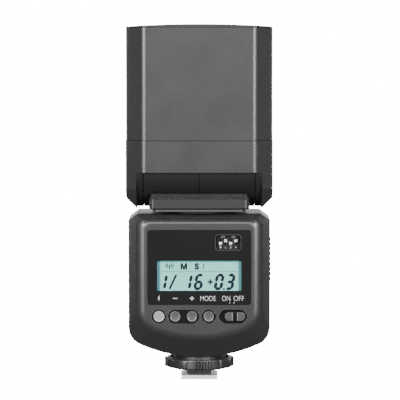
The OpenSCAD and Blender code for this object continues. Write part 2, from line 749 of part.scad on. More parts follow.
// Half of the barrel, on the +X side.
module barrel_half() difference() {
    rod_x(barrel_r, gap, barrel_l / 2, 0, tilt_z);
    rod_x(barrel_r - barrel_wall, -1, barrel_l / 2 - barrel_end_t, 0, tilt_z);
    rod_x(trunnion_r + fit, 0, barrel_l, 0, tilt_z);
    rod_z(shaft_r - 2.4, 0, tilt_z);
    // tilt marks on the back of the barrel
    for (k = [0:5]) rotate_at_tilt(-20 - k * 15)
        block(barrel_l / 2 - 6, barrel_l / 2 - 3.4, -barrel_r - 1, -barrel_r + 0.25, -0.2, 0.2);
}

module rotate_at_tilt(a) translate([0, 0, tilt_z]) rotate([-a, 0, 0]) children();

module barrel_right() color("#1f1f21") barrel_half();
module barrel_left() color("#1f1f21") mirror([1, 0, 0]) barrel_half();

// ---- head ---------------------------------------------------------------------------------------

disc_x0 = barrel_l / 2 + 0.35;
disc_t = 3.2;
cheek_x0 = disc_x0 + disc_t + 0.1;
half_w = head_w / 2;
half_d = head_d / 2;
cheek_ch = half_w - cheek_x0;
cheek_r = barrel_r + 1.3;
seam_z = tilt_z + 11;
lip_drop = 4.7;                         // how far the back wall hangs below the tilt axis
notch_w = pedestal_w + 3;               // the front notch clears the pedestal when the head points forwards
notch_top = tilt_z + barrel_r + 0.4;
sleeve_top = head_top - 1.8;
sleeve_step = 0.2;

// Everything round the tilt axis that the cheeks may fill, with a conical edge.
module cheek_round() {
    translate([0, 0, tilt_z]) rotate([0, 90, 0]) translate([0, 0, -half_w]) rotate_extrude()
        polygon([[0, 0], [cheek_r - cheek_ch, 0], [cheek_r, cheek_ch], [cheek_r, head_w - cheek_ch],
                 [cheek_r - cheek_ch, head_w], [0, head_w]]);
}

module base_form() intersection() {
    xy(head_pts(), tilt_z - cheek_r - 1, seam_z);
    union() {
        cheek_round();
        block(-half_w - 1, half_w + 1, -half_d - 1, half_d + 1, tilt_z - lip_drop, seam_z + 1);
    }
}

module head_base() color("#565658") difference() {
    base_form();
    // room between the cheeks for the tilt discs and the barrel
    block(-cheek_x0, cheek_x0, -half_d - 1, half_d + 1, 0, tilt_z - lip_drop);
    rod_x(barrel_r + slack, -disc_x0, disc_x0, 0, tilt_z);
    intersection() {
        rod_x(barrel_r + slack, -cheek_x0, cheek_x0, 0, tilt_z);
        xy(head_pts(head_wall, 3), 0, seam_z + 1);
    }
    xy(head_pts(head_wall, 3), tilt_z + barrel_r * 0.25, seam_z + 1);
    block(-notch_w / 2, notch_w / 2, 0, half_d + 1, 0, seam_z + 1);
    for (s = [-1, 1])
        rod_x(cap_seat_r + gap, s > 0 ? half_w - 1.4 : -half_w - 1,
              s > 0 ? half_w + 1 : 1.4 - half_w, 0, tilt_z);
}

cap_seat_r = 7.6;

module pivot_caps() color("#29292b") {
    for (s = [-1, 1]) translate([s * (half_w - 1.3), 0, tilt_z]) rotate([0, s * 90, 0]) difference() {
        cylinder(r = cap_seat_r, h = 1.3);
        translate([0, 0, 0.9]) difference() {
            cylinder(r = cap_seat_r - 1.2, h = 1);
            cylinder(r = cap_seat_r - 1.8, h = 1);
        }
    }
}

// What the discs may fill: all of their round below the head's walls, the room inside the walls above.
module disc_room() {
    block(-half_w, half_w, -half_d, half_d, 0, tilt_z - lip_drop);
    xy(head_pts(head_wall + 0.1, 2.9), 0, seam_z - 0.3);
}

module tilt_discs() color("#2b2b2d") intersection() {
    disc_room();
    for (s = [-1, 1]) translate([0, 0, tilt_z]) rotate([0, s * 90, 0]) difference() {
        union() {
            translate([0, 0, disc_x0]) cylinder(r = barrel_r, h = disc_t);
            translate([0, 0, barrel_l / 2 - barrel_end_t - 1.6])
                cylinder(r = trunnion_r, h = barrel_end_t + 2.2);
        }
        cylinder(r = trunnion_r - 2.4, h = disc_x0 + disc_t - 1.4);
        translate([0, 0, barrel_l / 2 - barrel_end_t - 1.1]) difference() {
            cylinder(r = trunnion_r + 1, h = 1);
            cylinder(r = trunnion_r - 1, h = 1);
        }
    }
}

module tilt_clips() color("silver") {
    for (s = [-1, 1]) translate([0, 0, tilt_z]) rotate([0, s * 90, 0])
        translate([0, 0, barrel_l / 2 - barrel_end_t - 1.05]) difference() {
            cylinder(r = trunnion_r + 2, h = 0.9);
            translate([0, 0, -1]) cylinder(r = trunnion_r - 0.95, h = 3);
            translate([0, -3, -1]) cube([trunnion_r * 2, 6, 3]);
        }
}

// Closes the head over the barrel.
bulk_t = 1.5;
bulk_r = barrel_r + slack + 0.1;
bulk_y = half_d - sleeve_step - head_wall - 0.1;
module head_bulkhead() color("#1f1f21") translate([0, 0, tilt_z]) {
    a_end = acos(-(bulk_y - 0.1) / (bulk_r + bulk_t));
    yz(concat(arc(0, 0, bulk_r + bulk_t, 90, a_end, 10), arc(0, 0, bulk_r, a_end, 90, 10)),
       -notch_w / 2, notch_w / 2);
    block(-notch_w / 2, notch_w / 2, -eps, bulk_y, bulk_r, bulk_r + bulk_t);
}

module head_sleeve() color("#58585a") difference() {
    xy(head_pts(sleeve_step), seam_z + gap, sleeve_top);
    xy(head_pts(sleeve_step + head_wall, 3), seam_z - 1, sleeve_top + 1);
    block(-notch_w / 2, notch_w / 2, 0, half_d + 1, 0, notch_top);
}

// Front frame, lens and pull-out panels
front_bow = 540;                        // radius of the bowed front
lens_y = 1.8;                           // the window sits forward of the middle to leave room for the panels
card_w = 2 * head_flat - 6.8;
card_h = 44;
card_t = 0.9;
wide_t = 1.3;
slot_y0 = -half_d + head_wall + 1.3;
card_y = slot_y0 + 0.3;
wide_y = card_y + card_t + 0.3;
slot_y1 = wide_y + wide_t + 0.3;
slot_w = card_w + 1.2;

// What lies under the bowed front, lowered by drop.
module under_bow(drop) {
    a = asin((half_w + 2) / front_bow);
    xz(concat(arc(0, head_top - drop - front_bow, front_bow, 90 - a, 90 + a, 10),
              [[-half_w - 2, seam_z], [half_w + 2, seam_z]]), -half_d - 5, half_d + 5);
}

module front_frame() color("#131315") difference() {
    intersection() {
        union() {
            xy(head_pts(sleeve_step - 0.1), sleeve_top + 0.03, head_top + 1);
            xy(head_pts(sleeve_step + head_wall + 0.1, 2.9), sleeve_top - 4, sleeve_top + 0.1);
        }
        under_bow(0);
    }
    translate([0, lens_y, 0]) xy(rounded(box_pts(window_w, window_h), 2.5), 0, head_top + 5);
    translate([0, lens_y, 0])
        xy(rounded(box_pts(window_w + 2, window_h + 2), 3), sleeve_top - 5, sleeve_top - 0.6);
    block(-slot_w / 2, slot_w / 2, slot_y0, slot_y1, 0, head_top + 5);
}

// Stepped rings on the inside of the lens, as straight prisms across the window.
module fresnel_lens() color("#dfe4e8") difference() {
    intersection() {
        union() {
            translate([0, lens_y, 0])
                xy(rounded(box_pts(window_w + 1.8, window_h + 1.8), 3), head_top - 4.2, sleeve_top - 0.65);
            translate([0, lens_y, 0])
                xy(rounded(box_pts(window_w - 0.2, window_h - 0.2), 2.4), head_top - 3.4, head_top + 1);
        }
        under_bow(0.9);
    }
    for (i = [-7:7]) translate([0, lens_y + i * 2, head_top - 4.3])
        rotate([90, 0, 90]) translate([0, 0, -window_w / 2]) linear_extrude(window_w)
            polygon([[-0.9, 0], [0.9, 0], [0.9 - (i > 0 ? 1.8 : 0), 1]]);
}

module bounce_card() color("white") {
    block(-card_w / 2, card_w / 2, card_y, card_y + card_t, head_top - 1.5 - card_h, head_top - 1.5);
    block(-9, 9, card_y, card_y + card_t, head_top - 1.6, head_top - 0.3);
}

module wide_panel() color("#dfe4e8") {
    block(-card_w / 2, card_w / 2, wide_y, wide_y + wide_t, head_top - 1.5 - card_h, head_top - 1.5);
    block(-9, 9, wide_y, wide_y + wide_t, head_top - 1.6, head_top - 0.3);
}

tray_t = 0.8;
module panel_tray() color("#1b1b1d") difference() {
    block(-slot_w / 2 - tray_t, slot_w / 2 + tray_t, slot_y0 - tray_t, slot_y1 + tray_t,
          head_top - 3 - card_h, sleeve_top - 4.1);
    block(-slot_w / 2, slot_w / 2, slot_y0, slot_y1, head_top - 2 - card_h, head_top);
}

reflector_h = 17;
reflector_top = head_top - 4.4;
// Half the height of the reflector's opening at a share t of its depth.
function bowl(t) = 4 + (window_h / 2 - 6) * sqrt(t);
function bowl_pts(g, n = 8) = concat(
    [for (i = [0:n]) [bowl(i / n) + g, reflector_top - reflector_h * (1 - i / n) - (i == 0 ? g : 0)]],
    [for (i = [n:-1:0]) [-bowl(i / n) - g, reflector_top - reflector_h * (1 - i / n) - (i == 0 ? g : 0)]]);

tube_z = reflector_top - reflector_h + 5;
tube_r = 2;
tube_half = window_w / 2 - 7;
refl_y = lens_y + 1.4;
module reflector() color("#d6d8da") difference() {
    translate([0, refl_y, 0]) yz(bowl_pts(0.6), -window_w / 2 + 3.4, window_w / 2 - 3.4);
    difference() {
        translate([0, refl_y, 0]) yz(bowl_pts(0), -window_w / 2 + 4, window_w / 2 - 4);
        for (s = [-1, 1])
            translate([s * window_w / 2, refl_y, reflector_top - reflector_h]) rotate([0, s * -24, 0])
                block(-8, 8, -40, 40, -20, 40);
    }
    rod_x(tube_r + 0.4, -window_w, window_w, refl_y, tube_z);
    block(-window_w, window_w, -40, 40, reflector_top - 0.01, reflector_top + 5);
}

module flash_tube() color("#e6ecf2") rod_x(tube_r, -tube_half - 4.5, tube_half + 4.5, refl_y, tube_z);

module tube_holders() color("#e9e9e6") {
    for (s = [-1, 1]) difference() {
        rod_x(tube_r + 2.2, s > 0 ? tube_half + 4 : -tube_half - 7.4,
              s > 0 ? tube_half + 7.4 : -tube_half - 4, refl_y, tube_z);
        rod_x(tube_r + 0.02, -tube_half - 4.6, tube_half + 4.6, refl_y, tube_z);
    }
}

module trigger_board() color("#1f5a34") {
    z = tilt_z + bulk_r + bulk_t + 2;
    block(-22, 22, refl_y - 12, refl_y + 12, z, z + 1.4);
    rod_z(3.4, z + 1.3, z + 8, -15, refl_y + 5);
    block(8, 18, refl_y - 4, refl_y + 4, z + 1.3, z + 5.5);
    for (sx = [-1, 1], sy = [-1, 1])
        rod_z(1.4, tilt_z + bulk_r + bulk_t + 0.02, z + 0.1, sx * 19, refl_y + 6 + sy * 4);
}

// ---- the assembly ---------------------------------------------------------------------------------

rear_cover();
front_cover();
body_screws();
control_panel();
lcd_glass();
lcd_backlight();
button_bezel();
test_button();
minus_button();
plus_button();
mode_button();
power_knob();
board_switches();
dip_switch();
dip_lever(1);  // dip_lever_1
dip_lever(2);  // dip_lever_2
dip_lever(3);  // dip_lever_3
dip_lever(4);  // dip_lever_4
main_board();
transformer();
main_capacitor();
battery_case();
battery_cells();
case_contacts();
battery_door();
door_contacts();
door_pin();
sensor_window();
sync_socket();
foot_neck();
foot_column();
foot_plate();
foot_screws();
contact_pin();
contact_spring();
lock_washer();
lock_wheel();
swivel_washer();
swivel_bush();
swivel_shaft();
swivel_clip();
neck_pedestal();
barrel_left();
barrel_right();
head_base();
pivot_caps();
tilt_discs();
tilt_clips();
head_bulkhead();
head_sleeve();
front_frame();
fresnel_lens();
bounce_card();
wide_panel();
panel_tray();
reflector();
flash_tube();
tube_holders();
trigger_board();
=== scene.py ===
# %% [markdown]
# # A speedlight flash
# The flash is three bodies in a row: a control body on a shoe foot, a neck that turns, and a lamp head that
# tilts. The CAD frame already holds every solid at its real place. This lesson gives the outside its
# finish: rounded edges, moulded textures, the printed marks, the display, the grip of the wheel and the
# prisms of the window. Lengths are in metres, as in the frame, and `MM` turns millimetres into them.

# %% The frame
import bpy
import bmesh
import json
from math import atan2, cos, pi, radians, sin, sqrt
from mathutils import Matrix, Vector


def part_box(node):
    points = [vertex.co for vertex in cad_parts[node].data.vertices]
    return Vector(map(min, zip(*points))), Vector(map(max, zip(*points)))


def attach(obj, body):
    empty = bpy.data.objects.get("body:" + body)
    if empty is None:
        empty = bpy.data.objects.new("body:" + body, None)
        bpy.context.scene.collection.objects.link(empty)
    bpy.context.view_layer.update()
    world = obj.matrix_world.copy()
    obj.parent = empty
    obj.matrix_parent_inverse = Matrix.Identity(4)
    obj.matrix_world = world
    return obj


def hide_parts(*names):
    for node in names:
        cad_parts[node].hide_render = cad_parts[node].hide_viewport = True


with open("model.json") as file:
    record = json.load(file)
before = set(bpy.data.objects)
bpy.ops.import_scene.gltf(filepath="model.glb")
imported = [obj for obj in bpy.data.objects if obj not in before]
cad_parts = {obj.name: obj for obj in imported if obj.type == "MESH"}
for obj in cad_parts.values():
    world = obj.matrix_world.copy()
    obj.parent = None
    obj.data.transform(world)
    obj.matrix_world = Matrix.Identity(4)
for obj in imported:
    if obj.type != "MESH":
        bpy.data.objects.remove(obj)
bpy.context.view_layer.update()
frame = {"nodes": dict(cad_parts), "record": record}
MM = 0.001
NODES = frame["nodes"]
RECORD = frame["record"]
BODY = {node: body for body, nodes in RECORD["behaviour"]["bodies"].items() for node in nodes}
SLOT = {part["node"]: part["material_slot"] for part in RECORD["subparts"]}


def low(node):
    return Vector(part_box(node)[0])


def high(node):
    return Vector(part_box(node)[1])


def middle(node):
    return (low(node) + high(node)) / 2


# %% [markdown]
# ## The studio
# A product shot on white. A tall softbox in front on each side draws the bright line down each rounded
# corner, and a strip behind on each side picks out the rims. Softboxes above fill the top from the front
# and the back, and a long low panel behind, which the camera doesn't see, lights the sloping shoulders. The
# floor is white only to the eye, so that it doesn't throw light up under the body. The lens is long and
# looks down a little from the height of the lamp head.

# %% Camera, floor and lights
FAR = 1.217                       # from the flash's axis to the lens
EYE = 0.1764                      # height of the lens
AIM = 0.0903                      # height of the point it looks at
LENS = 216.7                      # focal length in millimetres
SIDE_STEP = 0.00038               # how far the lens stands off the flash's axis
SEEN_WHITE = 20.0                 # bright enough to read as pure white


def make_camera():
    data = bpy.data.cameras.new("camera")
    data.lens = LENS
    data.clip_end = 20
    camera = bpy.data.objects.new("camera", data)
    camera.location = (SIDE_STEP, -FAR, EYE)
    camera.rotation_euler = (pi / 2 - atan2(EYE - AIM, FAR), 0, 0)
    bpy.context.collection.objects.link(camera)
    bpy.context.scene.camera = camera


def soft_light(name, place, target, width, height, power, seen=True):
    data = bpy.data.lights.new(name, "AREA")
    data.shape = "RECTANGLE"
    data.size, data.size_y, data.energy = width, height, power
    light = bpy.data.objects.new(name, data)
    light.visible_camera = seen
    light.location = place
    light.rotation_euler = (Vector(target) - Vector(place)).to_track_quat("-Z", "Y").to_euler()
    bpy.context.collection.objects.link(light)


def white_to_the_eye(name, seen, lit):
    """A backdrop material: one brightness to the eye, another to the light that falls on the object."""
    material = bpy.data.materials.new(name)
    material.use_nodes = True
    nodes, links = material.node_tree.nodes, material.node_tree.links
    nodes.clear()
    glow = nodes.new("ShaderNodeEmission")
    glow.inputs["Strength"].default_value = seen
    dull = nodes.new("ShaderNodeBsdfDiffuse")
    dull.inputs["Color"].default_value = (lit, lit, lit, 1)
    path = nodes.new("ShaderNodeLightPath")
    mix = nodes.new("ShaderNodeMixShader")
    out = nodes.new("ShaderNodeOutputMaterial")
    links.new(path.outputs["Is Camera Ray"], mix.inputs["Fac"])
    links.new(dull.outputs[0], mix.inputs[1])
    links.new(glow.outputs[0], mix.inputs[2])
    links.new(mix.outputs[0], out.inputs["Surface"])
    return material


def make_floor():
    bpy.ops.mesh.primitive_plane_add(size=16, location=(0, 0, -0.0006))
    floor = bpy.context.object
    floor.name = "floor"
    floor.data.materials.append(white_to_the_eye("pale_floor", SEEN_WHITE, 0.06))


def make_world():
    world = bpy.data.worlds.new("studio")
    bpy.context.scene.world = world
    world.use_nodes = True
    nodes, links = world.node_tree.nodes, world.node_tree.links
    nodes.clear()
    seen = nodes.new("ShaderNodeBackground")
    seen.inputs["Color"].default_value = (1, 1, 1, 1)
    seen.inputs["Strength"].default_value = SEEN_WHITE
    dim = nodes.new("ShaderNodeBackground")
    dim.inputs["Color"].default_value = (0.02, 0.0205, 0.021, 1)
    path = nodes.new("ShaderNodeLightPath")
    mix = nodes.new("ShaderNodeMixShader")
    out = nodes.new("ShaderNodeOutputWorld")
    links.new(path.outputs["Is Camera Ray"], mix.inputs["Fac"])
    links.new(dim.outputs[0], mix.inputs[1])
    links.new(seen.outputs[0], mix.inputs[2])
    links.new(mix.outputs[0], out.inputs["Surface"])


make_camera()
make_floor()
make_world()
for side in (-1, 1):
    soft_light("tall_softbox", (side * 0.88, -1.4, 0.55), (0, 0, 0.11), 0.36, 0.95, 66)
    soft_light("rear_strip", (side * 0.9, 0.75, 0.3), (0, 0, 0.1), 0.25, 0.8, 4)
soft_light("upper_softbox", (0.0, -1.35, 0.85), (0, 0, 0.1), 0.8, 0.5, 15)
soft_light("back_softbox", (0.0, 0.95, 1.05), (0, 0, 0.1), 1.2, 0.5, 14)
soft_light("low_sweep", (0.0, 1.3, 0.14), (0, 0, 0.1), 1.8, 0.26, 4, seen=False)

# %% [markdown]
# ## Node groups for the finishes
# Three effects come back in many finishes, so each is a group with named inputs: the spark-eroded grain of
# a moulded shell, the polish that hands leave on its edges, and fine dust. A group puts out heights, masks
# and shifts only. Each material keeps its own shader and decides what to do with them.

# %% Group helpers


def new_group(name, inputs, outputs):
    group = bpy.data.node_groups.new(name, "ShaderNodeTree")
    for label, kind, value in inputs:
        socket = group.interface.new_socket(label, in_out="INPUT", socket_type=kind)
        if value is not None:
            socket.default_value = value
    for label, kind in outputs:
        group.interface.new_socket(label, in_out="OUTPUT", socket_type=kind)
    return group, group.nodes.new("NodeGroupInput"), group.nodes.new("NodeGroupOutput")


def math_node(tree, operation, first, second=None, clamp=False):
    """A Math node; first and second are sockets or numbers."""
    node = tree.nodes.new("ShaderNodeMath")
    node.operation = operation
    node.use_clamp = clamp
    for index, value in enumerate((first, second)):
        if value is None:
            continue
        if isinstance(value, (int, float)):
            node.inputs[index].default_value = value
        else:
            tree.links.new(value, node.inputs[index])
    return node.outputs[0]


def noise(tree, scale, detail=2.0, rough=0.5, vector=None):
    """A Noise texture on Object coordinates. scale is a socket or a number of cells per metre."""
    node = tree.nodes.new("ShaderNodeTexNoise")
    node.inputs["Detail"].default_value = detail
    node.inputs["Roughness"].default_value = rough
    if vector is None:
        vector = tree.nodes.new("ShaderNodeTexCoord").outputs["Object"]
    tree.links.new(vector, node.inputs["Vector"])
    if isinstance(scale, (int, float)):
        node.inputs["Scale"].default_value = scale
    else:
        tree.links.new(scale, node.inputs["Scale"])
    return node.outputs["Fac"]


def span(tree, value, low_in, high_in, low_out=0.0, high_out=1.0):
    """Map Range, clamped."""
    node = tree.nodes.new("ShaderNodeMapRange")
    tree.links.new(value, node.inputs["Value"])
    limits = {"From Min": low_in, "From Max": high_in, "To Min": low_out, "To Max": high_out}
    for label, number in limits.items():
        node.inputs[label].default_value = number
    return node.outputs["Result"]


# %% The three groups


def make_grain_group():
    group, start, end = new_group(
        "spark_grain",
        [("Cells per metre", "NodeSocketFloat", 2200.0)],
        [("Height", "NodeSocketFloat"), ("Cloud", "NodeSocketFloat"), ("Speck", "NodeSocketFloat")])
    scale = start.outputs["Cells per metre"]
    fine = noise(group, scale, 3.0, 0.65)
    cell = group.nodes.new("ShaderNodeTexVoronoi")
    group.links.new(group.nodes.new("ShaderNodeTexCoord").outputs["Object"], cell.inputs["Vector"])
    group.links.new(scale, cell.inputs["Scale"])
    height = math_node(group, "ADD", fine, math_node(group, "MULTIPLY", cell.outputs["Distance"], 0.5))
    group.links.new(height, end.inputs["Height"])
    group.links.new(noise(group, 45.0, 3.0), end.inputs["Cloud"])
    coarse = noise(group, math_node(group, "MULTIPLY", scale, 0.5), 1.0)
    group.links.new(span(group, coarse, 0.42, 0.62), end.inputs["Speck"])
    return group


def make_edge_group():
    group, start, end = new_group(
        "handled_edge",
        [("Edge", "NodeSocketFloat", 0.0), ("Amount", "NodeSocketFloat", 0.5)],
        [("Mask", "NodeSocketFloat")])
    patchy = span(group, noise(group, 160.0, 4.0, 0.6), 0.35, 0.65, 0.25, 1.0)
    worn = math_node(group, "MULTIPLY", start.outputs["Edge"], patchy)
    mask = math_node(group, "MULTIPLY", worn, start.outputs["Amount"])
    group.links.new(mask, end.inputs["Mask"])
    return group


def make_dust_group():
    group, start, end = new_group(
        "fine_dust",
        [("Amount", "NodeSocketFloat", 0.1)],
        [("Mask", "NodeSocketFloat")])
    geometry = group.nodes.new("ShaderNodeNewGeometry")
    split = group.nodes.new("ShaderNodeSeparateXYZ")
    group.links.new(geometry.outputs["Normal"], split.inputs[0])
    facing_up = span(group, split.outputs["Z"], 0.2, 1.0)
    grains = span(group, noise(group, 900.0, 3.0, 0.7), 0.5, 0.7)
    settled = math_node(group, "MULTIPLY", facing_up, grains)
    mask = math_node(group, "MULTIPLY", settled, start.outputs["Amount"])
    group.links.new(mask, end.inputs["Mask"])
    return group


GRAIN = make_grain_group()
HANDLED = make_edge_group()
DUST = make_dust_group()
print("groups:", [g.name for g in bpy.data.node_groups])

# %% [markdown]
# ## Materials
# Nearly all of the flash is moulded plastic, in five tones from light grey to black. One builder makes
# them: the colour drifts softly with the cloud, edges that hands touch are lighter and smoother, and the
# grain gives bump. Metals, glass, the display and the printed marks have their own builders, because they
# don't share that look.

# %% Material builders


def tone(level, tint=(1.0, 1.0, 1.0)):
    """A linear colour from a 0 to 255 display level."""
    linear = ((level / 255 + 0.055) / 1.055) ** 2.4
    return tuple(linear * t for t in tint) + (1.0,)


def blank(name):
    material = bpy.data.materials.new(name)
    material.use_nodes = True
    return material, material.node_tree, material.node_tree.nodes["Principled BSDF"]


def blend_colour(tree, factor, first, second):
    node = tree.nodes.new("ShaderNodeMix")
    node.data_type = "RGBA"
    tree.links.new(factor, node.inputs["Factor"])
    for socket, value in ((node.inputs[6], first), (node.inputs[7], second)):
        if isinstance(value, tuple):
            socket.default_value = value
        else:
            tree.links.new(value, socket)
    return node.outputs[2]


def use_group(tree, group, **values):
    node = tree.nodes.new("ShaderNodeGroup")
    node.node_tree = group
    for label, value in values.items():
        socket = node.inputs[label.replace("_", " ")]
        if isinstance(value, (int, float)):
            socket.default_value = value
        else:
            tree.links.new(value, socket)
    return node


def bump(tree, shader, height, strength, depth):
    node = tree.nodes.new("ShaderNodeBump")
    node.inputs["Strength"].default_value = strength
    node.inputs["Distance"].default_value = depth
    tree.links.new(height, node.inputs["Height"])
    tree.links.new(node.outputs["Normal"], shader.inputs["Normal"])


def moulded(name, level, rough, cells=2200.0, depth=0.00003, tint=(1.0, 1.0, 1.03), polish=0.35, dust=0.1,
            specular=0.5, coat=0.0):
    material, tree, shader = blank(name)
    grain = use_group(tree, GRAIN, Cells_per_metre=cells)
    edge = tree.nodes.new("ShaderNodeAttribute")
    edge.attribute_name = "edge"
    handled = use_group(tree, HANDLED, Edge=edge.outputs["Fac"], Amount=polish)
    dusty = use_group(tree, DUST, Amount=dust)
    drift = blend_colour(tree, grain.outputs["Cloud"], tone(level * 0.97, tint), tone(level * 1.03, tint))
    specked = blend_colour(tree, math_node(tree, "MULTIPLY", grain.outputs["Speck"], 0.35), drift,
                           tone(level * 1.22, tint))
    worn = blend_colour(tree, handled.outputs["Mask"], specked, tone(min(level * 1.55 + 10, 235), tint))
    final = blend_colour(tree, dusty.outputs["Mask"], worn, tone(150, (1.0, 0.98, 0.95)))
    tree.links.new(final, shader.inputs["Base Color"])
    dull = math_node(tree, "ADD", span(tree, grain.outputs["Cloud"], 0.3, 0.7, rough - 0.02, rough + 0.02),
                     math_node(tree, "MULTIPLY", handled.outputs["Mask"], -0.18), clamp=True)
    tree.links.new(dull, shader.inputs["Roughness"])
    shader.inputs["Specular IOR Level"].default_value = specular
    shader.inputs["Coat Weight"].default_value = coat
    bump(tree, shader, grain.outputs["Height"], 0.5, depth)
    return material


def metal(name, colour, rough, brushed=True):
    material, tree, shader = blank(name)
    shader.inputs["Metallic"].default_value = 1.0
    coords = tree.nodes.new("ShaderNodeTexCoord")
    stretch = tree.nodes.new("ShaderNodeMapping")
    stretch.inputs["Scale"].default_value = (1, 1, 30) if brushed else (1, 1, 1)
    tree.links.new(coords.outputs["Object"], stretch.inputs["Vector"])
    lines = noise(tree, 400.0, 3.0, 0.6, stretch.outputs["Vector"])
    tarnish = noise(tree, 120.0, 3.0)
    shade = tuple(c * 0.8 for c in colour[:3]) + (1.0,)
    dulled = blend_colour(tree, span(tree, tarnish, 0.35, 0.7), colour, shade)
    tree.links.new(dulled, shader.inputs["Base Color"])
    tree.links.new(span(tree, lines, 0.3, 0.7, rough - 0.07, rough + 0.1), shader.inputs["Roughness"])
    bump(tree, shader, lines, 0.25, 0.00001)
    return material


def printed(name, level, tint=(1.0, 1.0, 1.0)):
    """Ink or a display segment: nearly even, with a faint mottling."""
    material, tree, shader = blank(name)
    mottle = noise(tree, 1500.0, 2.0)
    tree.links.new(blend_colour(tree, mottle, tone(level * 0.94, tint), tone(min(level * 1.04, 255), tint)),
                   shader.inputs["Base Color"])
    tree.links.new(span(tree, mottle, 0.3, 0.7, 0.42, 0.55), shader.inputs["Roughness"])
    shader.inputs["Specular IOR Level"].default_value = 0.1
    return material


def clear(name, colour, rough, alpha):
    """Clear or milky moulding, seen through by its alpha."""
    material, tree, shader = blank(name)
    streak = noise(tree, 300.0, 2.0)
    tree.links.new(blend_colour(tree, streak, colour, tuple(c * 0.93 for c in colour[:3]) + (1.0,)),
                   shader.inputs["Base Color"])
    tree.links.new(span(tree, streak, 0.3, 0.7, rough, rough + 0.08), shader.inputs["Roughness"])
    shader.inputs["Alpha"].default_value = alpha
    shader.inputs["Coat Weight"].default_value = 0.4
    shader.inputs["Coat Roughness"].default_value = 0.05
    bump(tree, shader, streak, 0.1, 0.00002)
    return material


def display_face(name, top, edge_shadow):
    """The display's glass: pale green-blue, darker at its upper and side edges where the frame shades it."""
    material, tree, shader = blank(name)
    coords = tree.nodes.new("ShaderNodeTexCoord")
    split = tree.nodes.new("ShaderNodeSeparateXYZ")
    tree.links.new(coords.outputs["Object"], split.inputs[0])
    centre, size = middle("lcd_glass"), high("lcd_glass") - low("lcd_glass")
    from_middle = math_node(tree, "ABSOLUTE", math_node(tree, "SUBTRACT", split.outputs["X"], centre.x))
    side_shade = span(tree, from_middle, size.x / 2 - 3.6 * MM, size.x / 2 - 3.1 * MM)
    rim_z = centre.z + size.z / 2
    top_shade = span(tree, split.outputs["Z"], rim_z - 2.5 * MM, rim_z - 2.2 * MM)
    shade = math_node(tree, "MAXIMUM", side_shade, top_shade)
    mottle = noise(tree, 60.0, 2.0)
    even = blend_colour(tree, mottle, top, tuple(c * 0.93 for c in top[:3]) + (1.0,))
    tree.links.new(blend_colour(tree, shade, even, edge_shadow), shader.inputs["Base Color"])
    tree.links.new(span(tree, mottle, 0.3, 0.7, 0.28, 0.36), shader.inputs["Roughness"])
    shader.inputs["Specular IOR Level"].default_value = 0.15
    return material


# %% The palette

GREY = (1.0, 1.01, 1.04)
PALETTE = {
    "body_shell": moulded("body_shell_plastic", 30, 0.34),
    "head_shell": moulded("head_shell_plastic", 32, 0.34, tint=GREY),
    "door_shell": moulded("door_plastic", 30, 0.4),
    "neck_shell": moulded("neck_plastic", 26, 0.36, specular=0.35),
    "black_trim": moulded("black_plastic", 16, 0.42, specular=0.4),
    "neck_plate": moulded("neck_plate_plastic", 34, 0.45),
    "washer_black": moulded("swivel_washer_plastic", 12, 0.5, polish=0.1, specular=0.2),
    "panel": moulded("panel_plastic", 13, 0.4, cells=3600.0, depth=0.00001, polish=0.2, dust=0.02,
                     specular=0.08),
    "lcd": display_face("display_glass", (0.125, 0.33, 0.29, 1), (0.05, 0.15, 0.16, 1)),
    "backlight": moulded("light_guide", 225, 0.4),
    "bezel": moulded("bezel_black", 10, 0.4, depth=0.00001, polish=0.1, dust=0.02, specular=0.08),
    "button_light": moulded("button_pale", 100, 0.35, cells=3600.0, depth=0.00001, tint=(1.0, 1.0, 1.02)),
    "button_grey": moulded("button_grey", 46, 0.38, cells=3600.0, depth=0.00001),
    "knob": moulded("knob_grey", 40, 0.4, cells=3600.0, depth=0.00001),
    "switch_body": moulded("switch_block", 14, 0.5, specular=0.15),
    # The pale tone of the knob's ridges is painted highlight along the lips of its groove.
    "button_pale_edge": moulded("knob_lip_highlight_plastic", 92, 0.35, depth=0.00001),
    "lever_white": moulded("lever_white", 235, 0.4, depth=0.00001, polish=0.0),
    "board": moulded("solder_mask", 70, 0.3, tint=(0.3, 1.3, 0.6)),
    "copper": metal("varnished_copper", (0.6, 0.28, 0.1, 1), 0.35),
    "capacitor": moulded("capacitor_sleeve", 38, 0.3),
    "inner_plastic": moulded("inner_plastic", 20, 0.55, specular=0.3),
    "cell": metal("cell_sleeve", (0.55, 0.57, 0.6, 1), 0.35),
    "spring_steel": metal("plated_spring", (0.7, 0.7, 0.72, 1), 0.28),
    "sensor_red": moulded("sensor_window_plastic", 62, 0.12, tint=(1.6, 0.16, 0.2), depth=0.000004, coat=0.6),
    "jack": metal("plated_socket", (0.62, 0.62, 0.64, 1), 0.3),
    "foot_plastic": moulded("foot_plastic", 24, 0.45),
    "wheel_rubber": moulded("wheel_plastic", 24, 0.36, polish=0.5),
    "washer_grey": moulded("washer_plastic", 50, 0.5),
    "foot_metal": metal("foot_plate_metal", (0.93, 0.93, 0.94, 1), 0.42),
    "screw": metal("blackened_screw", (0.13, 0.13, 0.135, 1), 0.4),
    "gold": metal("gold_contact", (0.86, 0.62, 0.26, 1), 0.25, brushed=False),
    "lens": clear("window_moulding", (0.92, 0.94, 0.96, 1), 0.06, 0.3),
    "diffuser": clear("diffuser_moulding", (0.9, 0.92, 0.93, 1), 0.25, 0.75),
    "card": moulded("card_white", 232, 0.5, depth=0.00001, polish=0.0),
    "mirror_metal": metal("reflector_metal", (0.9, 0.9, 0.91, 1), 0.12),
    "tube_glass": clear("tube_glass", (0.9, 0.93, 0.96, 1), 0.03, 0.35),
    "ceramic": moulded("tube_holder_ceramic", 225, 0.3, depth=0.00001),
}
WHITE_INK = printed("white_ink", 156)
SEGMENT = printed("display_segment", 14, (0.7, 0.95, 2.0))
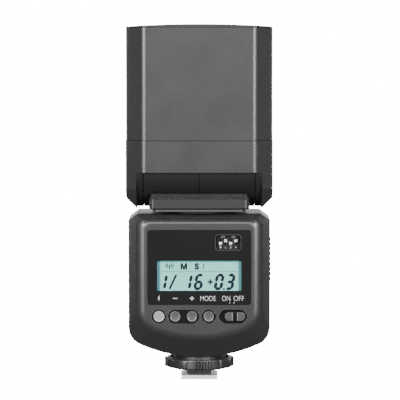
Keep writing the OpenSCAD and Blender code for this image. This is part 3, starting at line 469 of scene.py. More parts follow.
missing = set(SLOT.values()) - set(PALETTE)
print("materials:", len(PALETTE), "slots without one:", missing)

# %% [markdown]
# ## From CAD solid to finished piece
# A solid from the CAD has knife-sharp edges, which no moulding has. Each visible solid is copied, its loose
# triangles are merged into flat faces again, and every sharp edge is rounded by a fraction of a millimetre.
# The rounded strips are marked in the attribute `edge`, which the materials read. Weighted normals keep the
# flats flat.

# %% Finishing helpers


def baked(obj):
    """Applies the object's modifiers into a plain mesh."""
    graph = bpy.context.evaluated_depsgraph_get()
    mesh = bpy.data.meshes.new_from_object(obj.evaluated_get(graph), preserve_all_data_layers=True,
                                           depsgraph=graph)
    obj.modifiers.clear()
    obj.data = mesh
    return obj


def settle(name, mesh, body, slot, material, *stands_for):
    """Makes the finished piece, gives it its finish, and lets it ride on its body."""
    obj = bpy.data.objects.new(name, mesh)
    bpy.context.collection.objects.link(obj)
    mesh.materials.clear()
    mesh.materials.append(material)
    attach(obj, body)
    if stands_for:
        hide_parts(*stands_for)
    return obj


def weighted(mesh):
    """Smooth shading that leaves large flat faces flat."""
    mesh.shade_smooth()
    helper = bpy.data.objects.new("helper", mesh)
    bpy.context.collection.objects.link(helper)
    modifier = helper.modifiers.new("weighted", "WEIGHTED_NORMAL")
    modifier.keep_sharp = True
    baked(helper)
    result = helper.data
    bpy.data.objects.remove(helper)
    return result


def rounded_mesh(bm, width, segments, sharp):
    """Bevels every edge sharper than `sharp` degrees and marks the new strips."""
    mark = bm.faces.layers.float.new("edge")
    edges = [e for e in bm.edges if e.is_manifold and e.calc_face_angle(0) > radians(sharp)]
    made = bmesh.ops.bevel(bm, geom=edges, offset=width * MM, segments=segments, profile=0.5,
                           affect="EDGES", clamp_overlap=True)
    for face in made["faces"]:
        face[mark] = 1.0
    mesh = bpy.data.meshes.new("rounded")
    bm.to_mesh(mesh)
    bm.free()
    return weighted(mesh)


def refine(node, width, segments=2, sharp=30):
    """A finished piece made from a CAD node."""
    bm = bmesh.new()
    bm.from_mesh(NODES[node].data)
    bmesh.ops.remove_doubles(bm, verts=bm.verts, dist=0.004 * MM)
    bmesh.ops.dissolve_limit(bm, angle_limit=radians(0.5), verts=bm.verts, edges=bm.edges)
    mesh = rounded_mesh(bm, width, segments, sharp)
    obj = settle(node + "_finished", mesh, BODY[node], SLOT[node], PALETTE[SLOT[node]], node)
    return obj


# %% [markdown]
# ## The shells
# The widths are the edge radii that such mouldings have: about half a millimetre on the big covers, less on
# small pieces. Everything that can't be seen, such as the boards and cells, keeps its CAD solid.

# %% Rounding the visible solids
EDGE_MM = {
    "rear_cover": 0.3, "front_cover": 0.3, "head_sleeve": 0.3, "head_base": 0.35, "front_frame": 0.25,
    "neck_pedestal": 0.6, "barrel_left": 0.3, "barrel_right": 0.3, "tilt_discs": 0.3, "swivel_shaft": 0.25,
    "swivel_washer": 0.15, "control_panel": 0.12, "button_bezel": 0.12, "power_knob": 0.3,
    "dip_switch": 0.08, "dip_lever_1": 0.1, "dip_lever_2": 0.1, "dip_lever_3": 0.1, "dip_lever_4": 0.1,
    "battery_door": 0.2, "sensor_window": 0.3, "sync_socket": 0.12, "pivot_caps": 0.2, "foot_neck": 0.3,
    "foot_column": 0.2, "foot_plate": 0.25, "contact_pin": 0.25,
    "bounce_card": 0.15, "wide_panel": 0.15, "battery_cells": 0.5,
}
for node, width in EDGE_MM.items():
    refine(node, width)
for node, obj in NODES.items():
    obj.data.materials.clear()
    obj.data.materials.append(PALETTE[SLOT[node]])
print("finished pieces:", len(EDGE_MM))

# %% [markdown]
# ## Round push buttons
# A push button is turned, not milled: a rim with a soft radius and a shallow dished top that catches the
# light. Its section is a short list of radii and depths, spun round the button's axis.

# %% Buttons


def spun(profile, steps=64):
    """A closed solid from (radius, height) pairs, turned round Z. The profile starts and ends on the axis."""
    bm = bmesh.new()
    rings = []
    for radius, height in profile:
        if radius < 1e-9:
            rings.append([bm.verts.new((0, 0, height))])
        else:
            turns = [2 * pi * k / steps for k in range(steps)]
            rings.append([bm.verts.new((radius * cos(a), radius * sin(a), height)) for a in turns])
    for lower, upper in zip(rings, rings[1:]):
        for k in range(steps):
            n = (k + 1) % steps
            if len(lower) == 1:
                bm.faces.new((lower[0], upper[n], upper[k]))
            elif len(upper) == 1:
                bm.faces.new((lower[k], lower[n], upper[0]))
            else:
                bm.faces.new((lower[k], lower[n], upper[n], upper[k]))
    bmesh.ops.recalc_face_normals(bm, faces=bm.faces)
    return bm


def to_mesh(bm, name, smooth=True):
    mesh = bpy.data.meshes.new(name)
    bm.to_mesh(mesh)
    bm.free()
    if smooth:
        mesh.shade_smooth()
    return mesh


CAP_RADIUS = 2.72 * MM
RIM = 0.42 * MM
TOWARDS_THUMB = Matrix.Rotation(radians(90), 4, "X")       # turns +Z to -Y, the way a button faces


def button(node):
    centre = middle(node)
    deep = high(node).y - low(node).y
    collar = (high(node).x - low(node).x) / 2
    turn = [(CAP_RADIUS - RIM * (1 - sin(a)), deep - RIM * (1 - cos(a))) for a in
            [radians(90 - 15 * k) for k in range(7)]]
    dish = [(CAP_RADIUS * r, deep - 0.2 * MM * (1 - r * r) - 0.02 * MM) for r in (0.78, 0.6, 0.4, 0.2, 0.0)]
    back = 1.1 * MM                                        # the collar that keeps the cap behind the wall
    profile = [(0, 0), (collar, 0), (collar, back), (CAP_RADIUS, back)] + turn + dish
    bm = spun(profile)
    bm.transform(Matrix.Translation((centre.x, high(node).y, centre.z)) @ TOWARDS_THUMB)
    mark = bm.faces.layers.float.new("edge")
    for face in bm.faces:
        spot = face.calc_center_median()
        off = sqrt((spot.x - centre.x) ** 2 + (spot.z - centre.z) ** 2)
        face[mark] = 1.0 if CAP_RADIUS - RIM < off < CAP_RADIUS else 0.0
    return settle(node + "_cap", to_mesh(bm, node), BODY[node], SLOT[node], PALETTE[SLOT[node]], node)


BUTTONS = ("test_button", "minus_button", "plus_button", "mode_button")
for node in BUTTONS:
    button(node)
print("button caps:", len(BUTTONS))

# %% [markdown]
# ## Outlines on the control face
# Wells, marks, display segments and letters are all flat shapes on the rear face. They are drawn as
# outlines in X and Z, filled, and given a thickness towards the back of the flash. Sizes are in
# millimetres.

# %% Flat shapes
FACE_Y = low("control_panel").y / MM          # the panel's outer face
GLASS_Y = low("lcd_glass").y / MM


def stadium(width, height, x, z, steps=20):
    """A slot with round ends, or a circle where width and height are the same."""
    r = height / 2
    run = width / 2 - r
    turns = [pi * (k / steps - 0.5) for k in range(steps + 1)]
    right = [(x + run + r * cos(a), z + r * sin(a)) for a in turns]
    left = [(x - run + r * cos(a + pi), z + r * sin(a + pi)) for a in turns]
    if run < 1e-6:
        right.pop()
        left.pop()
    return right + left


def soft_box(width, height, r, x, z, steps=6):
    spots = []
    for sx, sz, start in ((1, -1, -0.5), (1, 1, 0), (-1, 1, 0.5), (-1, -1, 1)):
        for k in range(steps + 1):
            a = pi * (start + 0.5 * k / steps)
            spots.append((x + sx * (width / 2 - r) + r * cos(a), z + sz * (height / 2 - r) + r * sin(a)))
    return spots


def bar(x, z, width, height):
    return [(x - width / 2, z - height / 2), (x + width / 2, z - height / 2),
            (x + width / 2, z + height / 2), (x - width / 2, z + height / 2)]


def add_plate(bm, outline, y_front, thick):
    """Fills an outline and gives it a thickness. y_front is the side that faces out."""
    near = [bm.verts.new((x * MM, y_front * MM, z * MM)) for x, z in outline]
    far = [bm.verts.new((x * MM, (y_front + thick) * MM, z * MM)) for x, z in outline]
    bm.faces.new(near)
    bm.faces.new(list(reversed(far)))
    for k in range(len(near)):
        n = (k + 1) % len(near)
        bm.faces.new((near[n], near[k], far[k], far[n]))


def add_band(bm, outer, inner, y_front, thick):
    """A flat ring between two outlines with the same number of points."""
    count = len(outer)
    rows = [[bm.verts.new((x * MM, y * MM, z * MM)) for x, z in line]
            for line, y in ((outer, y_front), (inner, y_front),
                            (inner, y_front + thick), (outer, y_front + thick))]
    for row in range(4):
        a, b = rows[row], rows[(row + 1) % 4]
        for k in range(count):
            n = (k + 1) % count
            bm.faces.new((a[k], a[n], b[n], b[k]))


def flat_piece(name, bm, body, slot, material):
    bmesh.ops.recalc_face_normals(bm, faces=bm.faces)
    return settle(name, to_mesh(bm, name, smooth=False), body, slot, material)


# %% [markdown]
# ## Black wells
# Each button sits in a black ring sunk into the face, and minus and plus share one long well. A raised
# hairline round each well is where the black insert meets the grey cover. It is a swept ring with a round
# section.

# %% Wells and their hairlines
ROW_Z = middle("mode_button").z / MM
WELL_R = 3.5
KNOB_WELL_W = 13.8                             # the long well that the power knob slides in
KNOB_WELL_OFF = 6.15                           # from the knob's right end to the middle of its well
RIM_WIRE = 0.13                                # radius of the raised hairline


def centre_x(node):
    return middle(node).x / MM


WELLS = [(2 * WELL_R, centre_x("test_button")), (2 * WELL_R, centre_x("mode_button")),
         (centre_x("plus_button") - centre_x("minus_button") + 2 * WELL_R,
          (centre_x("plus_button") + centre_x("minus_button")) / 2),
         (KNOB_WELL_W, high("power_knob").x / MM - KNOB_WELL_OFF)]


def hairline(outline):
    """A wire that follows a closed outline, with a round section."""
    curve = bpy.data.curves.new("hairline", "CURVE")
    curve.dimensions = "3D"
    curve.bevel_depth = RIM_WIRE * MM
    curve.bevel_resolution = 2
    spline = curve.splines.new("POLY")
    spline.points.add(len(outline) - 1)
    for point, (x, z) in zip(spline.points, outline):
        point.co = (x * MM, (FACE_Y + 0.02) * MM, z * MM, 1)
    spline.use_cyclic_u = True
    return curve


def joined(parts):
    """One mesh from many."""
    bm = bmesh.new()
    for mesh in parts:
        bm.from_mesh(mesh)
    return to_mesh(bm, "joined", smooth=False)


def curve_mesh(curve):
    helper = bpy.data.objects.new("helper", curve)
    bpy.context.collection.objects.link(helper)
    graph = bpy.context.evaluated_depsgraph_get()
    mesh = bpy.data.meshes.new_from_object(helper.evaluated_get(graph))
    bpy.data.objects.remove(helper)
    return mesh


wires = []
bm = bmesh.new()
for width, x in WELLS:
    outside = stadium(width + 0.1, 2 * WELL_R + 0.1, x, ROW_Z)
    inside = stadium(width - 0.5, 2 * WELL_R - 0.5, x, ROW_Z)
    add_band(bm, outside, inside, FACE_Y + 0.06, 0.6)
    wires.append(curve_mesh(hairline(stadium(width + 0.15, 2 * WELL_R + 0.15, x, ROW_Z))))
flat_piece("well_walls", bm, "body", "bezel", PALETTE["bezel"])
rims = joined(wires)
rims.shade_smooth()
settle("well_hairlines", rims, "body", "body_shell", PALETTE["body_shell"])
print("wells:", len(WELLS))

# %% [markdown]
# ## The power knob
# The knob's two halves are split by a groove for the thumbnail, with a fine ridge along each side of
# it. A black plate on the groove's floor is painted shade for the shadow in the groove. The ridges are thin
# ribs with a round top, and their pale tone is painted highlight along the groove's lips. They ride on the
# knob.

# %% Knob groove with painted shade, ridges with painted highlight
knob_mid, knob_top = middle("power_knob") / MM, high("power_knob") / MM
knob_low = low("power_knob") / MM
groove_shade_plate = bmesh.new()
# A black plate on the groove's floor: painted shade for the shadow in the groove.
add_plate(groove_shade_plate, bar(knob_mid.x, ROW_Z, 1.9, 4.2), knob_low.y + 0.45, 0.3)
flat_piece("knob_groove", groove_shade_plate, "power_knob", "bezel", PALETTE["bezel"])
# Pale ribs beside the groove: their light tone is painted highlight along the groove's lips.
lip_highlight_ribs = bmesh.new()
for side in (-1, 1):
    add_plate(lip_highlight_ribs, soft_box(0.35, 3.9, 0.15, knob_mid.x + side * 1.25, ROW_Z), knob_low.y - 0.12, 0.3)
flat_piece("knob_ridges", lip_highlight_ribs, "power_knob", "knob", PALETTE["button_pale_edge"])
print("knob from", round(knob_low.x, 2), "to", round(knob_top.x, 2))

# %% [markdown]
# ## Printed marks
# The panel carries small white marks: a bolt, minus, plus, and the words MODE, ON and OFF over their
# buttons, and numbers under the four small switches. They are screen printed, so they stand only a few
# hundredths proud.

# %% Letters and signs
INK = 0.025
LABEL_Z = 41.6                                 # foot of the letters over the buttons
LABEL_H = 2.5


def word(text, x, z, height, width, y, thick=INK, weight=0.0):
    """Letters as a solid mesh: x is the middle, z the foot, height that of a capital."""
    curve = bpy.data.curves.new("word", "FONT")
    curve.body = text
    curve.align_x = "CENTER"
    curve.extrude = 0.5
    curve.offset = weight
    curve.resolution_u = 4
    mesh = curve_mesh(curve)
    xs = [v.co.x for v in mesh.vertices]
    ys = [v.co.y for v in mesh.vertices]
    wide, tall = max(xs) - min(xs), max(ys) - min(ys)
    for v in mesh.vertices:
        v.co = ((x + ((v.co.x - min(xs)) / wide - 0.5) * width) * MM,
                (y + (0.5 - v.co.z) * thick) * MM,
                (z + (v.co.y - min(ys)) / tall * height) * MM)
    return mesh


def bolt(x, z, size):
    shape = [(0.1, 1.0), (-0.42, -0.12), (-0.04, -0.12), (-0.16, -1.0), (0.42, 0.2), (0.06, 0.2), (0.3, 1.0)]
    return [(x + u * size, z + v * size) for u, v in shape]


marks = bmesh.new()
middle_z = LABEL_Z + LABEL_H / 2
ink_y = FACE_Y - INK
add_plate(marks, bolt(centre_x("test_button"), middle_z, 1.4), ink_y, INK)
add_plate(marks, bar(centre_x("minus_button"), middle_z, 2.3, 0.42), ink_y, INK)
add_plate(marks, bar(centre_x("plus_button"), middle_z, 2.1, 0.42), ink_y, INK)
add_plate(marks, bar(centre_x("plus_button"), middle_z, 0.42, 2.1), ink_y - 0.002, INK)
for x in (15.2, 17.3):
    add_plate(marks, stadium(0.5, 0.5, x, LABEL_Z - 0.9), ink_y, INK)
bmesh.ops.recalc_face_normals(marks, faces=marks.faces)
words = [word(text, x, LABEL_Z, LABEL_H, width, ink_y, weight=-0.014)
         for text, x, width in (("MODE", 4.4, 7.7), ("ON", 13.4, 4.1), ("OFF", 19.7, 5.2))]
labels = joined([to_mesh(marks, "marks", smooth=False)] + words)
settle("printed_labels", labels, "body", "panel", WHITE_INK)
print("label faces:", len(labels.polygons))

# %% [markdown]
# ## The four small switches
# They set the trigger channel. A thin rounded outline frames them, the levers are white pegs with a step
# for a pen tip, and the block is printed with ON above and the numbers 1 to 4 below.

# %% Switch window, levers and numbers
SWITCH = middle("dip_switch") / MM
SWITCH_FACE = low("dip_switch").y / MM


def levers():
    for number in range(1, 5):
        node = "dip_lever_%d" % number
        centre, size = middle(node) / MM, (high(node) - low(node)) / MM
        y_front = low(node).y / MM
        bm = bmesh.new()
        add_plate(bm, soft_box(size.x, size.z, 0.15, centre.x, centre.z, 3), y_front + 0.25, size.y - 0.25)
        up = 1 if number % 2 == 0 else -1
        grip = soft_box(size.x, size.z * 0.42, 0.1, centre.x, centre.z + up * size.z * 0.28, 2)
        tongue = soft_box(size.x * 0.5, size.z * 0.4, 0.1, centre.x, centre.z - up * size.z * 0.25, 2)
        for outline in (grip, tongue):
            add_plate(bm, outline, y_front, 0.3)
        bmesh.ops.recalc_face_normals(bm, faces=bm.faces)
        peg = to_mesh(bm, node, smooth=False)
        settle(node + "_peg", peg, BODY[node], SLOT[node], PALETTE[SLOT[node]], node)


def switch_marks():
    signs = [word("ON", SWITCH.x + dx, SWITCH.z + 2.3, 0.75, 1.7, SWITCH_FACE - INK) for dx in (-2.6, 2.6)]
    signs += [word(str(k), middle("dip_lever_%d" % k).x / MM, SWITCH.z - 3.1, 0.85, 0.55, SWITCH_FACE - INK)
              for k in (1, 2, 3, 4)]
    settle("switch_marks", joined(signs), "body", "switch_body", WHITE_INK)
    bm = bmesh.new()
    add_band(bm, soft_box(12.9, 7.9, 1.6, SWITCH.x, SWITCH.z), soft_box(12.4, 7.4, 1.35, SWITCH.x, SWITCH.z),
             FACE_Y - 0.01, 0.5)
    flat_piece("switch_window_frame", bm, "body", "knob", PALETTE["knob"])


levers()
switch_marks()
print("switch face at", round(SWITCH_FACE, 2))

# %% [markdown]
# ## The display
# The display is passive: dark slanted segments behind a pale green-blue glass. Segments are six-sided bars
# that leave hairline gaps at the joints, which is what makes a seven-segment figure look real. The upper
# row has an aerial sign, the mode letters and a thin rule.

# %% Segments
DISPLAY_Z = low("lcd_backlight").z / MM + (high("lcd_backlight").z - low("lcd_backlight").z) / MM / 2
SLANT = 0.18
FIGURES = {"0": "abcdef", "1": "bc", "3": "abcdg", "6": "acdefg"}


def segment_bar(x0, z0, x1, z1, thick, gap=0.02):
    """A bar between two joints, pointed at both ends."""
    along = Vector((x1 - x0, z1 - z0))
    unit = along.normalized()
    side = Vector((-unit.y, unit.x)) * thick / 2
    start, end = Vector((x0, z0)) + unit * gap, Vector((x1, z1)) - unit * gap
    inner_start, inner_end = start + unit * thick / 2, end - unit * thick / 2
    corners = (start, inner_start + side, inner_end + side, end, inner_end - side, inner_start - side)
    return [tuple(p) for p in corners]


def figure(char, x, z, width, height, thick):
    """A seven-segment figure: x and z are its middle, before the slant."""
    left, right = x - width / 2 + thick / 2, x + width / 2 - thick / 2
    foot, top, waist = z - height / 2 + thick / 2, z + height / 2 - thick / 2, z
    ends = {"a": (left, top, right, top), "b": (right, waist, right, top), "c": (right, foot, right, waist),
            "d": (left, foot, right, foot), "e": (left, foot, left, waist), "f": (left, waist, left, top),
            "g": (left, waist, right, waist)}
    return [segment_bar(*ends[name], thick) for name in FIGURES[char]]


def slanted(outline, z):
    return [(u + (v - z) * SLANT, v) for u, v in outline]


def sign_arc(x, z, r, start, stop, thick, steps=8):
    turn = [radians(start + (stop - start) * k / steps) for k in range(steps + 1)]
    outer = [(x + (r + thick / 2) * cos(a), z + (r + thick / 2) * sin(a)) for a in turn]
    inner = [(x + (r - thick / 2) * cos(a), z + (r - thick / 2) * sin(a)) for a in reversed(turn)]
    return outer + inner


def display_signs():
    row_z, tall, thick = DISPLAY_Z - 3.3, 8.3, 1.5
    shapes = []
    for char, x in (("1", -18.3), ("1", -5.9), ("6", -0.2), ("0", 9.9), ("3", 15.4)):
        shapes += [slanted(o, row_z) for o in figure(char, x, row_z, 4.4, tall, thick)]
    shapes.append(segment_bar(-14.9, row_z - 3.8, -11.3, row_z + 3.9, 1.0, 0.0))
    shapes += [bar(5.5, row_z, 2.7, 0.8), bar(5.5, row_z, 0.8, 2.7), bar(12.3, row_z - 3.6, 0.9, 0.9)]
    shapes.append(bar(0, DISPLAY_Z + 1.9, 38.6, 0.16))
    sign_x, sign_z = -14.8, DISPLAY_Z + 4.8
    shapes += [stadium(0.9, 0.9, sign_x, sign_z, 8), bar(sign_x, sign_z - 1.1, 0.45, 1.6)]
    for r in (1.15, 1.85):
        shapes += [sign_arc(sign_x, sign_z, r, -42, 42, 0.42), sign_arc(sign_x, sign_z, r, 138, 222, 0.42)]
    foot, top = DISPLAY_Z + 2.8, DISPLAY_Z + 6.1
    # the letter M: two stems and the notched wedge between them
    shapes += [bar(x, DISPLAY_Z + 4.45, 0.8, 3.3) for x in (-8.85, -6.45)]
    shapes.append([(-8.85, top), (-9.1, top), (-7.95, foot), (-7.35, foot), (-6.2, top), (-6.9, top),
                   (-7.65, foot + 1.5), (-8.4, top)])
    shapes += [segment_bar(2.1, DISPLAY_Z + 4.5, 2.25, DISPLAY_Z + 6.1, 0.5, 0.05),
               segment_bar(1.9, DISPLAY_Z + 2.9, 2.05, DISPLAY_Z + 4.4, 0.5, 0.05)]
    bm = bmesh.new()
    for step, outline in enumerate(shapes):
        add_plate(bm, outline, GLASS_Y - INK - 0.0004 * step, INK)
    bmesh.ops.recalc_face_normals(bm, faces=bm.faces)
    letters = [word("S", -1.2, DISPLAY_Z + 2.8, 3.3, 2.3, GLASS_Y - INK, weight=0.06)]
    return joined([to_mesh(bm, "signs", smooth=False)] + letters)


display = display_signs()
settle("display_segments", display, "body", "lcd", SEGMENT)
print("display faces:", len(display.polygons))

# %% [markdown]
# ## Node trees that place and repeat
# `place_on_points` puts a copy of one shape at every point of a guide mesh, turned by the point's own
# `turn` angles. Screws, wheel ribs and grip pads all come from it. `prism_sheet` makes the ribbed sheet of
# the flash window from a flat grid, by a rule: the height is a saw-tooth of the distance from the middle.

# %% Trees


def new_tree(name, inputs):
    tree = bpy.data.node_groups.new(name, "GeometryNodeTree")
    tree.interface.new_socket("Geometry", in_out="INPUT", socket_type="NodeSocketGeometry")
    for label, kind, value in inputs:
        socket = tree.interface.new_socket(label, in_out="INPUT", socket_type=kind)
        if value is not None:
            socket.default_value = value
    tree.interface.new_socket("Geometry", in_out="OUTPUT", socket_type="NodeSocketGeometry")
    return tree, tree.nodes.new("NodeGroupInput"), tree.nodes.new("NodeGroupOutput")


def finish_tree(tree, start, end, geometry):
    realize = tree.nodes.new("GeometryNodeRealizeInstances")
    paint = tree.nodes.new("GeometryNodeSetMaterial")
    tree.links.new(geometry, realize.inputs[0])
    tree.links.new(realize.outputs[0], paint.inputs["Geometry"])
    tree.links.new(start.outputs["Material"], paint.inputs["Material"])
    tree.links.new(paint.outputs[0], end.inputs[0])
    return tree


def make_place_tree():
    tree, start, end = new_tree("place_on_points", [
        ("Shape", "NodeSocketObject", None), ("Size", "NodeSocketFloat", 1.0),
        ("Material", "NodeSocketMaterial", None)])
    shape = tree.nodes.new("GeometryNodeObjectInfo")
    shape.inputs["As Instance"].default_value = True
    tree.links.new(start.outputs["Shape"], shape.inputs["Object"])
    turn = tree.nodes.new("GeometryNodeInputNamedAttribute")
    turn.data_type = "FLOAT_VECTOR"
    turn.inputs["Name"].default_value = "turn"
    place = tree.nodes.new("GeometryNodeInstanceOnPoints")
    tree.links.new(start.outputs["Geometry"], place.inputs["Points"])
    tree.links.new(shape.outputs["Geometry"], place.inputs["Instance"])
    tree.links.new(turn.outputs["Attribute"], place.inputs["Rotation"])
    tree.links.new(start.outputs["Size"], place.inputs["Scale"])
    return finish_tree(tree, start, end, place.outputs[0])


def make_prism_tree():
    tree, start, end = new_tree("prism_sheet", [
        ("Width", "NodeSocketFloat", 0.05), ("Depth", "NodeSocketFloat", 0.03),
        ("Pitch", "NodeSocketFloat", 0.0015), ("Height", "NodeSocketFloat", 0.0004),
        ("Base", "NodeSocketFloat", 0.0),
        ("Material", "NodeSocketMaterial", None)])
    grid = tree.nodes.new("GeometryNodeMeshGrid")
    grid.inputs["Vertices X"].default_value = 230
    grid.inputs["Vertices Y"].default_value = 134
    tree.links.new(start.outputs["Width"], grid.inputs["Size X"])
    tree.links.new(start.outputs["Depth"], grid.inputs["Size Y"])
    spot = tree.nodes.new("GeometryNodeInputPosition")
    scale = tree.nodes.new("ShaderNodeVectorMath")
    scale.operation = "MULTIPLY"
    scale.inputs[1].default_value = (0.55, 1.0, 1.0)
    tree.links.new(spot.outputs[0], scale.inputs[0])
    reach = tree.nodes.new("ShaderNodeVectorMath")
    reach.operation = "LENGTH"
    tree.links.new(scale.outputs[0], reach.inputs[0])
    saw = math_node(tree, "FRACT", math_node(tree, "DIVIDE", reach.outputs["Value"], start.outputs["Pitch"]))
    tooth = math_node(tree, "MULTIPLY", saw, start.outputs["Height"])
    lift = math_node(tree, "ADD", tooth, start.outputs["Base"])
    rise = tree.nodes.new("ShaderNodeCombineXYZ")
    tree.links.new(lift, rise.inputs["Z"])
    move = tree.nodes.new("GeometryNodeSetPosition")
    tree.links.new(grid.outputs["Mesh"], move.inputs["Geometry"])
    tree.links.new(rise.outputs[0], move.inputs["Offset"])
    return finish_tree(tree, start, end, move.outputs[0])


PLACE = make_place_tree()
PRISMS = make_prism_tree()


def run_tree(name, tree, guide, **values):
    """Runs a tree on a guide mesh and gives back a plain mesh."""
    helper = bpy.data.objects.new(name, guide)
    bpy.context.collection.objects.link(helper)
    modifier = helper.modifiers.new("nodes", "NODES")
    modifier.node_group = tree
    for item in tree.interface.items_tree:
        if item.in_out == "INPUT" and item.name in values:
            modifier[item.identifier] = values[item.name]
    baked(helper)
    mesh = helper.data
    bpy.data.objects.remove(helper)
    return mesh


def guide_points(spots):
    """A mesh of loose points, each a place in metres and a turn in radians."""
    mesh = bpy.data.meshes.new("guide")
    mesh.from_pydata([place for place, turn in spots], [], [])
    layer = mesh.attributes.new("turn", "FLOAT_VECTOR", "POINT")
    for item, (place, turn) in zip(layer.data, spots):
        item.vector = turn
    return mesh


def shape_object(name, mesh):
    """A shape for the tree to copy. It is linked only while the tree runs."""
    obj = bpy.data.objects.new(name, mesh)
    bpy.context.collection.objects.link(obj)
    return obj


print("trees:", PLACE.name, PRISMS.name)

# %% [markdown]
# ## The locking wheel
# The wheel screws the flash down in its shoe. Its rim has eight grips: four are blocks of fine upright
# ribs, and four are smooth pads between them. The hub is turned, and the ribs and pads are placed by the
# tree.

# %% Wheel
WHEEL_LOW, WHEEL_HIGH = low("lock_wheel").z / MM, high("lock_wheel").z / MM
WHEEL_R = high("lock_wheel").x / MM
HUB_R = WHEEL_R - 0.9
LOBES = 8
FIRST_LOBE = 8.0                 # degrees from the right to the first grip
RIB_STEP = 4.6                   # degrees from one rib to the next
RIBS_A_SIDE = 3                  # ribs on each side of a grip's middle one
BORE_R = 8.1                     # clears the stem in the middle


def turned_ring(section, steps=128):
    """A ring from a closed section of (radius, height) in millimetres."""
    bm = bmesh.new()
    rows = [[bm.verts.new((r * MM * cos(2 * pi * k / steps), r * MM * sin(2 * pi * k / steps), z * MM))
             for k in range(steps)] for r, z in section]
    for i, row in enumerate(rows):
        after = rows[(i + 1) % len(rows)]
        for k in range(steps):
            n = (k + 1) % steps
            bm.faces.new((row[k], row[n], after[n], after[k]))
    bmesh.ops.recalc_face_normals(bm, faces=bm.faces)
    return bm


def wheel_hub():
    section = [(BORE_R, WHEEL_LOW + 2.3), (10.6, WHEEL_LOW + 2.3), (10.6, WHEEL_LOW), (HUB_R - 0.5, WHEEL_LOW),
               (HUB_R, WHEEL_LOW + 0.5), (HUB_R, WHEEL_HIGH - 0.5), (HUB_R - 0.4, WHEEL_HIGH),
               (14.8, WHEEL_HIGH), (14.8, WHEEL_HIGH - 1.6), (BORE_R, WHEEL_HIGH - 1.6)]
    return rounded_mesh(turned_ring(section), 0.15, 2, 30)


def rib_shape():
    bm = bmesh.new()
    bmesh.ops.create_cube(bm, size=1.0)
    tall = WHEEL_HIGH - WHEEL_LOW - 0.7
    bm.transform(Matrix.Translation(((WHEEL_R - 0.75) * MM, 0, (WHEEL_LOW + WHEEL_HIGH) / 2 * MM))
                 @ Matrix.Diagonal((1.5 * MM, 0.72 * MM, tall * MM, 1)))
    return rounded_mesh(bm, 0.22, 2, 30)


def pad_shape():
    half = radians(15.5)
    steps = 12
    section = [(HUB_R - 0.6, WHEEL_LOW + 0.3), (WHEEL_R - 0.3, WHEEL_LOW + 0.3), (WHEEL_R, WHEEL_LOW + 1.1),
               (WHEEL_R, WHEEL_HIGH - 1.1), (WHEEL_R - 0.3, WHEEL_HIGH - 0.3), (HUB_R - 0.6, WHEEL_HIGH - 0.3)]
    bm = bmesh.new()
    rows = []
    for k in range(steps + 1):
        a = -half + 2 * half * k / steps
        ease = 1.0 - 0.35 * (abs(a) / half) ** 6 / HUB_R
        rows.append([bm.verts.new((r * MM * ease * cos(a), r * MM * ease * sin(a), z * MM))
                     for r, z in section])
    for a, b in zip(rows, rows[1:]):
        for k in range(len(section)):
            n = (k + 1) % len(section)
            bm.faces.new((a[k], a[n], b[n], b[k]))
    bm.faces.new(rows[0])
    bm.faces.new(list(reversed(rows[-1])))
    bmesh.ops.recalc_face_normals(bm, faces=bm.faces)
    return rounded_mesh(bm, 0.25, 2, 28)


def wheel():
    ribs, pads = [], []
    for lobe in range(LOBES):
        angle = FIRST_LOBE + lobe * 360 / LOBES
        if lobe % 2 == 0:
            ribs += [((0, 0, 0), (0, 0, radians(angle + RIB_STEP * k)))
                     for k in range(-RIBS_A_SIDE, RIBS_A_SIDE + 1)]
        else:
            pads.append(((0, 0, 0), (0, 0, radians(angle))))
    material = PALETTE["wheel_rubber"]
    parts = [wheel_hub()]
    for spots, mesh in ((ribs, rib_shape()), (pads, pad_shape())):
        shape = shape_object("grip_shape", mesh)
        parts.append(run_tree("grips", PLACE, guide_points(spots), Shape=shape, Size=1.0, Material=material))
        bpy.data.objects.remove(shape)
    mesh = joined(parts)
    mesh.shade_smooth()
    settle("lock_wheel_turned", weighted(mesh), "lock_wheel", "wheel_rubber", material, "lock_wheel")
    return len(ribs), len(pads)


print("wheel ribs and pads:", wheel())

# %% [markdown]
# ## The joint in the barrel
# The barrel under the head is two mouldings that meet in the middle. A dark disc lies between them,
# just below their surface. It is painted shade for the shadow inside the joint, so that the joint reads as a
# fine black line.

# %% Dark disc in the seam, painted shade
barrel_mid, barrel_top = middle("barrel_right"), high("barrel_right")
seam_shade_r = (barrel_top.z - barrel_mid.z) / MM - 0.25
# A dark disc filling the seam: painted shade for the shadow inside the joint between the barrel halves.
seam_shade_disc = spun([(0, -0.5 * MM), (seam_shade_r * MM, -0.5 * MM), (seam_shade_r * MM, 0.5 * MM), (0, 0.5 * MM)], 96)
seam_shade_disc.transform(Matrix.Translation((0, barrel_mid.y, barrel_mid.z)) @ Matrix.Rotation(radians(90), 4, "Y"))
settle("barrel_gasket", weighted(to_mesh(seam_shade_disc, "seam_shade_disc", smooth=False)), "neck", "washer_black",
       PALETTE["washer_black"])
print("gasket radius:", round(seam_shade_r, 2))

# %% [markdown]
# ## Screws
# The front cover is held by four cross-head screws and the shoe foot by four more. One head is modelled,
# domed, with a cross that is cut into it, and the tree places it. Each is turned by a different amount, as
# real ones are.

# %% Screw heads


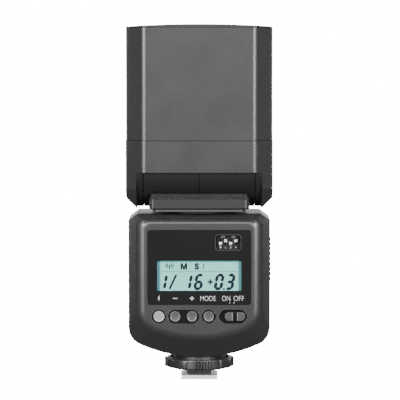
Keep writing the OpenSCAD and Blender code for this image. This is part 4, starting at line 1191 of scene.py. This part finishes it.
def screw_head(radius, deep):
    """A domed head along +Z with its top at 0, in millimetres."""
    bm = spun([(0, -deep * MM), (radius * 0.55 * MM, -deep * MM), (radius * 0.55 * MM, -0.9 * MM),
               (radius * MM, -0.9 * MM), (radius * MM, -0.35 * MM), (radius * 0.86 * MM, -0.1 * MM),
               (radius * 0.55 * MM, -0.02 * MM), (0, 0)], 32)
    mesh = to_mesh(bm, "head", smooth=False)
    head = shape_object("head", mesh)
    cutters = bmesh.new()
    for turn in (0, 90):
        made = bmesh.ops.create_cube(cutters, size=1.0)["verts"]
        bmesh.ops.transform(cutters, verts=made, matrix=Matrix.Rotation(radians(turn), 4, "Z")
                            @ Matrix.Diagonal((radius * 1.15 * MM, radius * 0.26 * MM, 1.1 * MM, 1)))
    cross = shape_object("cross", to_mesh(cutters, "cross", smooth=False))
    modifier = head.modifiers.new("cut", "BOOLEAN")
    modifier.object = cross
    modifier.operation = "DIFFERENCE"
    modifier.use_self = True
    baked(head)
    mesh = head.data
    bpy.data.objects.remove(head)
    bpy.data.objects.remove(cross)
    mesh.shade_smooth()
    return weighted(mesh)


def set_of_screws(name, node, mesh, spots):
    shape = shape_object("screw_shape", mesh)
    made = run_tree(name, PLACE, guide_points(spots), Shape=shape, Size=1.0, Material=PALETTE["screw"])
    bpy.data.objects.remove(shape)
    settle(name, made, BODY[node], "screw", PALETTE["screw"], node)
    return len(spots)


front = high("body_screws")
back = low("body_screws")
head_r = 2.2
cover_spots = []
for number, (sx, sz) in enumerate(((-1, -1), (1, -1), (-1, 1), (1, 1))):
    x = sx * (front.x - head_r * MM)
    z = (back.z + head_r * MM) if sz < 0 else (front.z - head_r * MM)
    cover_spots.append(((x, front.y, z), (radians(-90), radians(35 * number + 12), 0)))
length = (front.y - back.y) / MM
print("cover screws:", set_of_screws("cover_screws", "body_screws", screw_head(head_r, length), cover_spots))
foot_high, foot_low = high("foot_screws"), low("foot_screws")
foot_r = 1.5
foot_spots = [((sx * (foot_high.x - foot_r * MM), sy * (foot_high.y - foot_r * MM), foot_low.z),
               (radians(180), 0, radians(40 * k)))
              for k, (sx, sy) in enumerate(((-1, -1), (1, -1), (-1, 1), (1, 1)))]
print("foot screws:", set_of_screws("foot_screw_set", "foot_screws",
                                    screw_head(foot_r, (foot_high.z - foot_low.z) / MM), foot_spots))

# %% [markdown]
# ## The flash window
# The window's inner side is a sheet of fine ring prisms that spread the light. From outside they show as
# bright closed curves under the clear face. The tree makes the saw-tooth sheet, and a solidify gives it its
# wall.

# %% Prism sheet
lens_mid = middle("fresnel_lens")
SHEET_Z = low("fresnel_lens").z + 0.6 * MM       # just over the window's inner side
SHEET_WALL = 0.25 * MM
SHEET = {"Width": 56.4 * MM, "Depth": 32.4 * MM, "Pitch": 1.5 * MM, "Height": 0.35 * MM}


def prism_sheet():
    flat = bpy.data.meshes.new("flat")
    mesh = run_tree("prisms", PRISMS, flat, Base=0.0, Material=PALETTE["lens"], **SHEET)
    helper = bpy.data.objects.new("helper", mesh)
    bpy.context.collection.objects.link(helper)
    wall = helper.modifiers.new("wall", "SOLIDIFY")
    wall.thickness = SHEET_WALL
    wall.offset = -1
    baked(helper)
    mesh = helper.data
    bpy.data.objects.remove(helper)
    mesh.transform(Matrix.Translation((lens_mid.x, lens_mid.y, SHEET_Z)))
    return mesh


settle("window_prisms", prism_sheet(), "head", "lens", PALETTE["lens"])
print("window prisms made at", round(SHEET_Z / MM, 1))
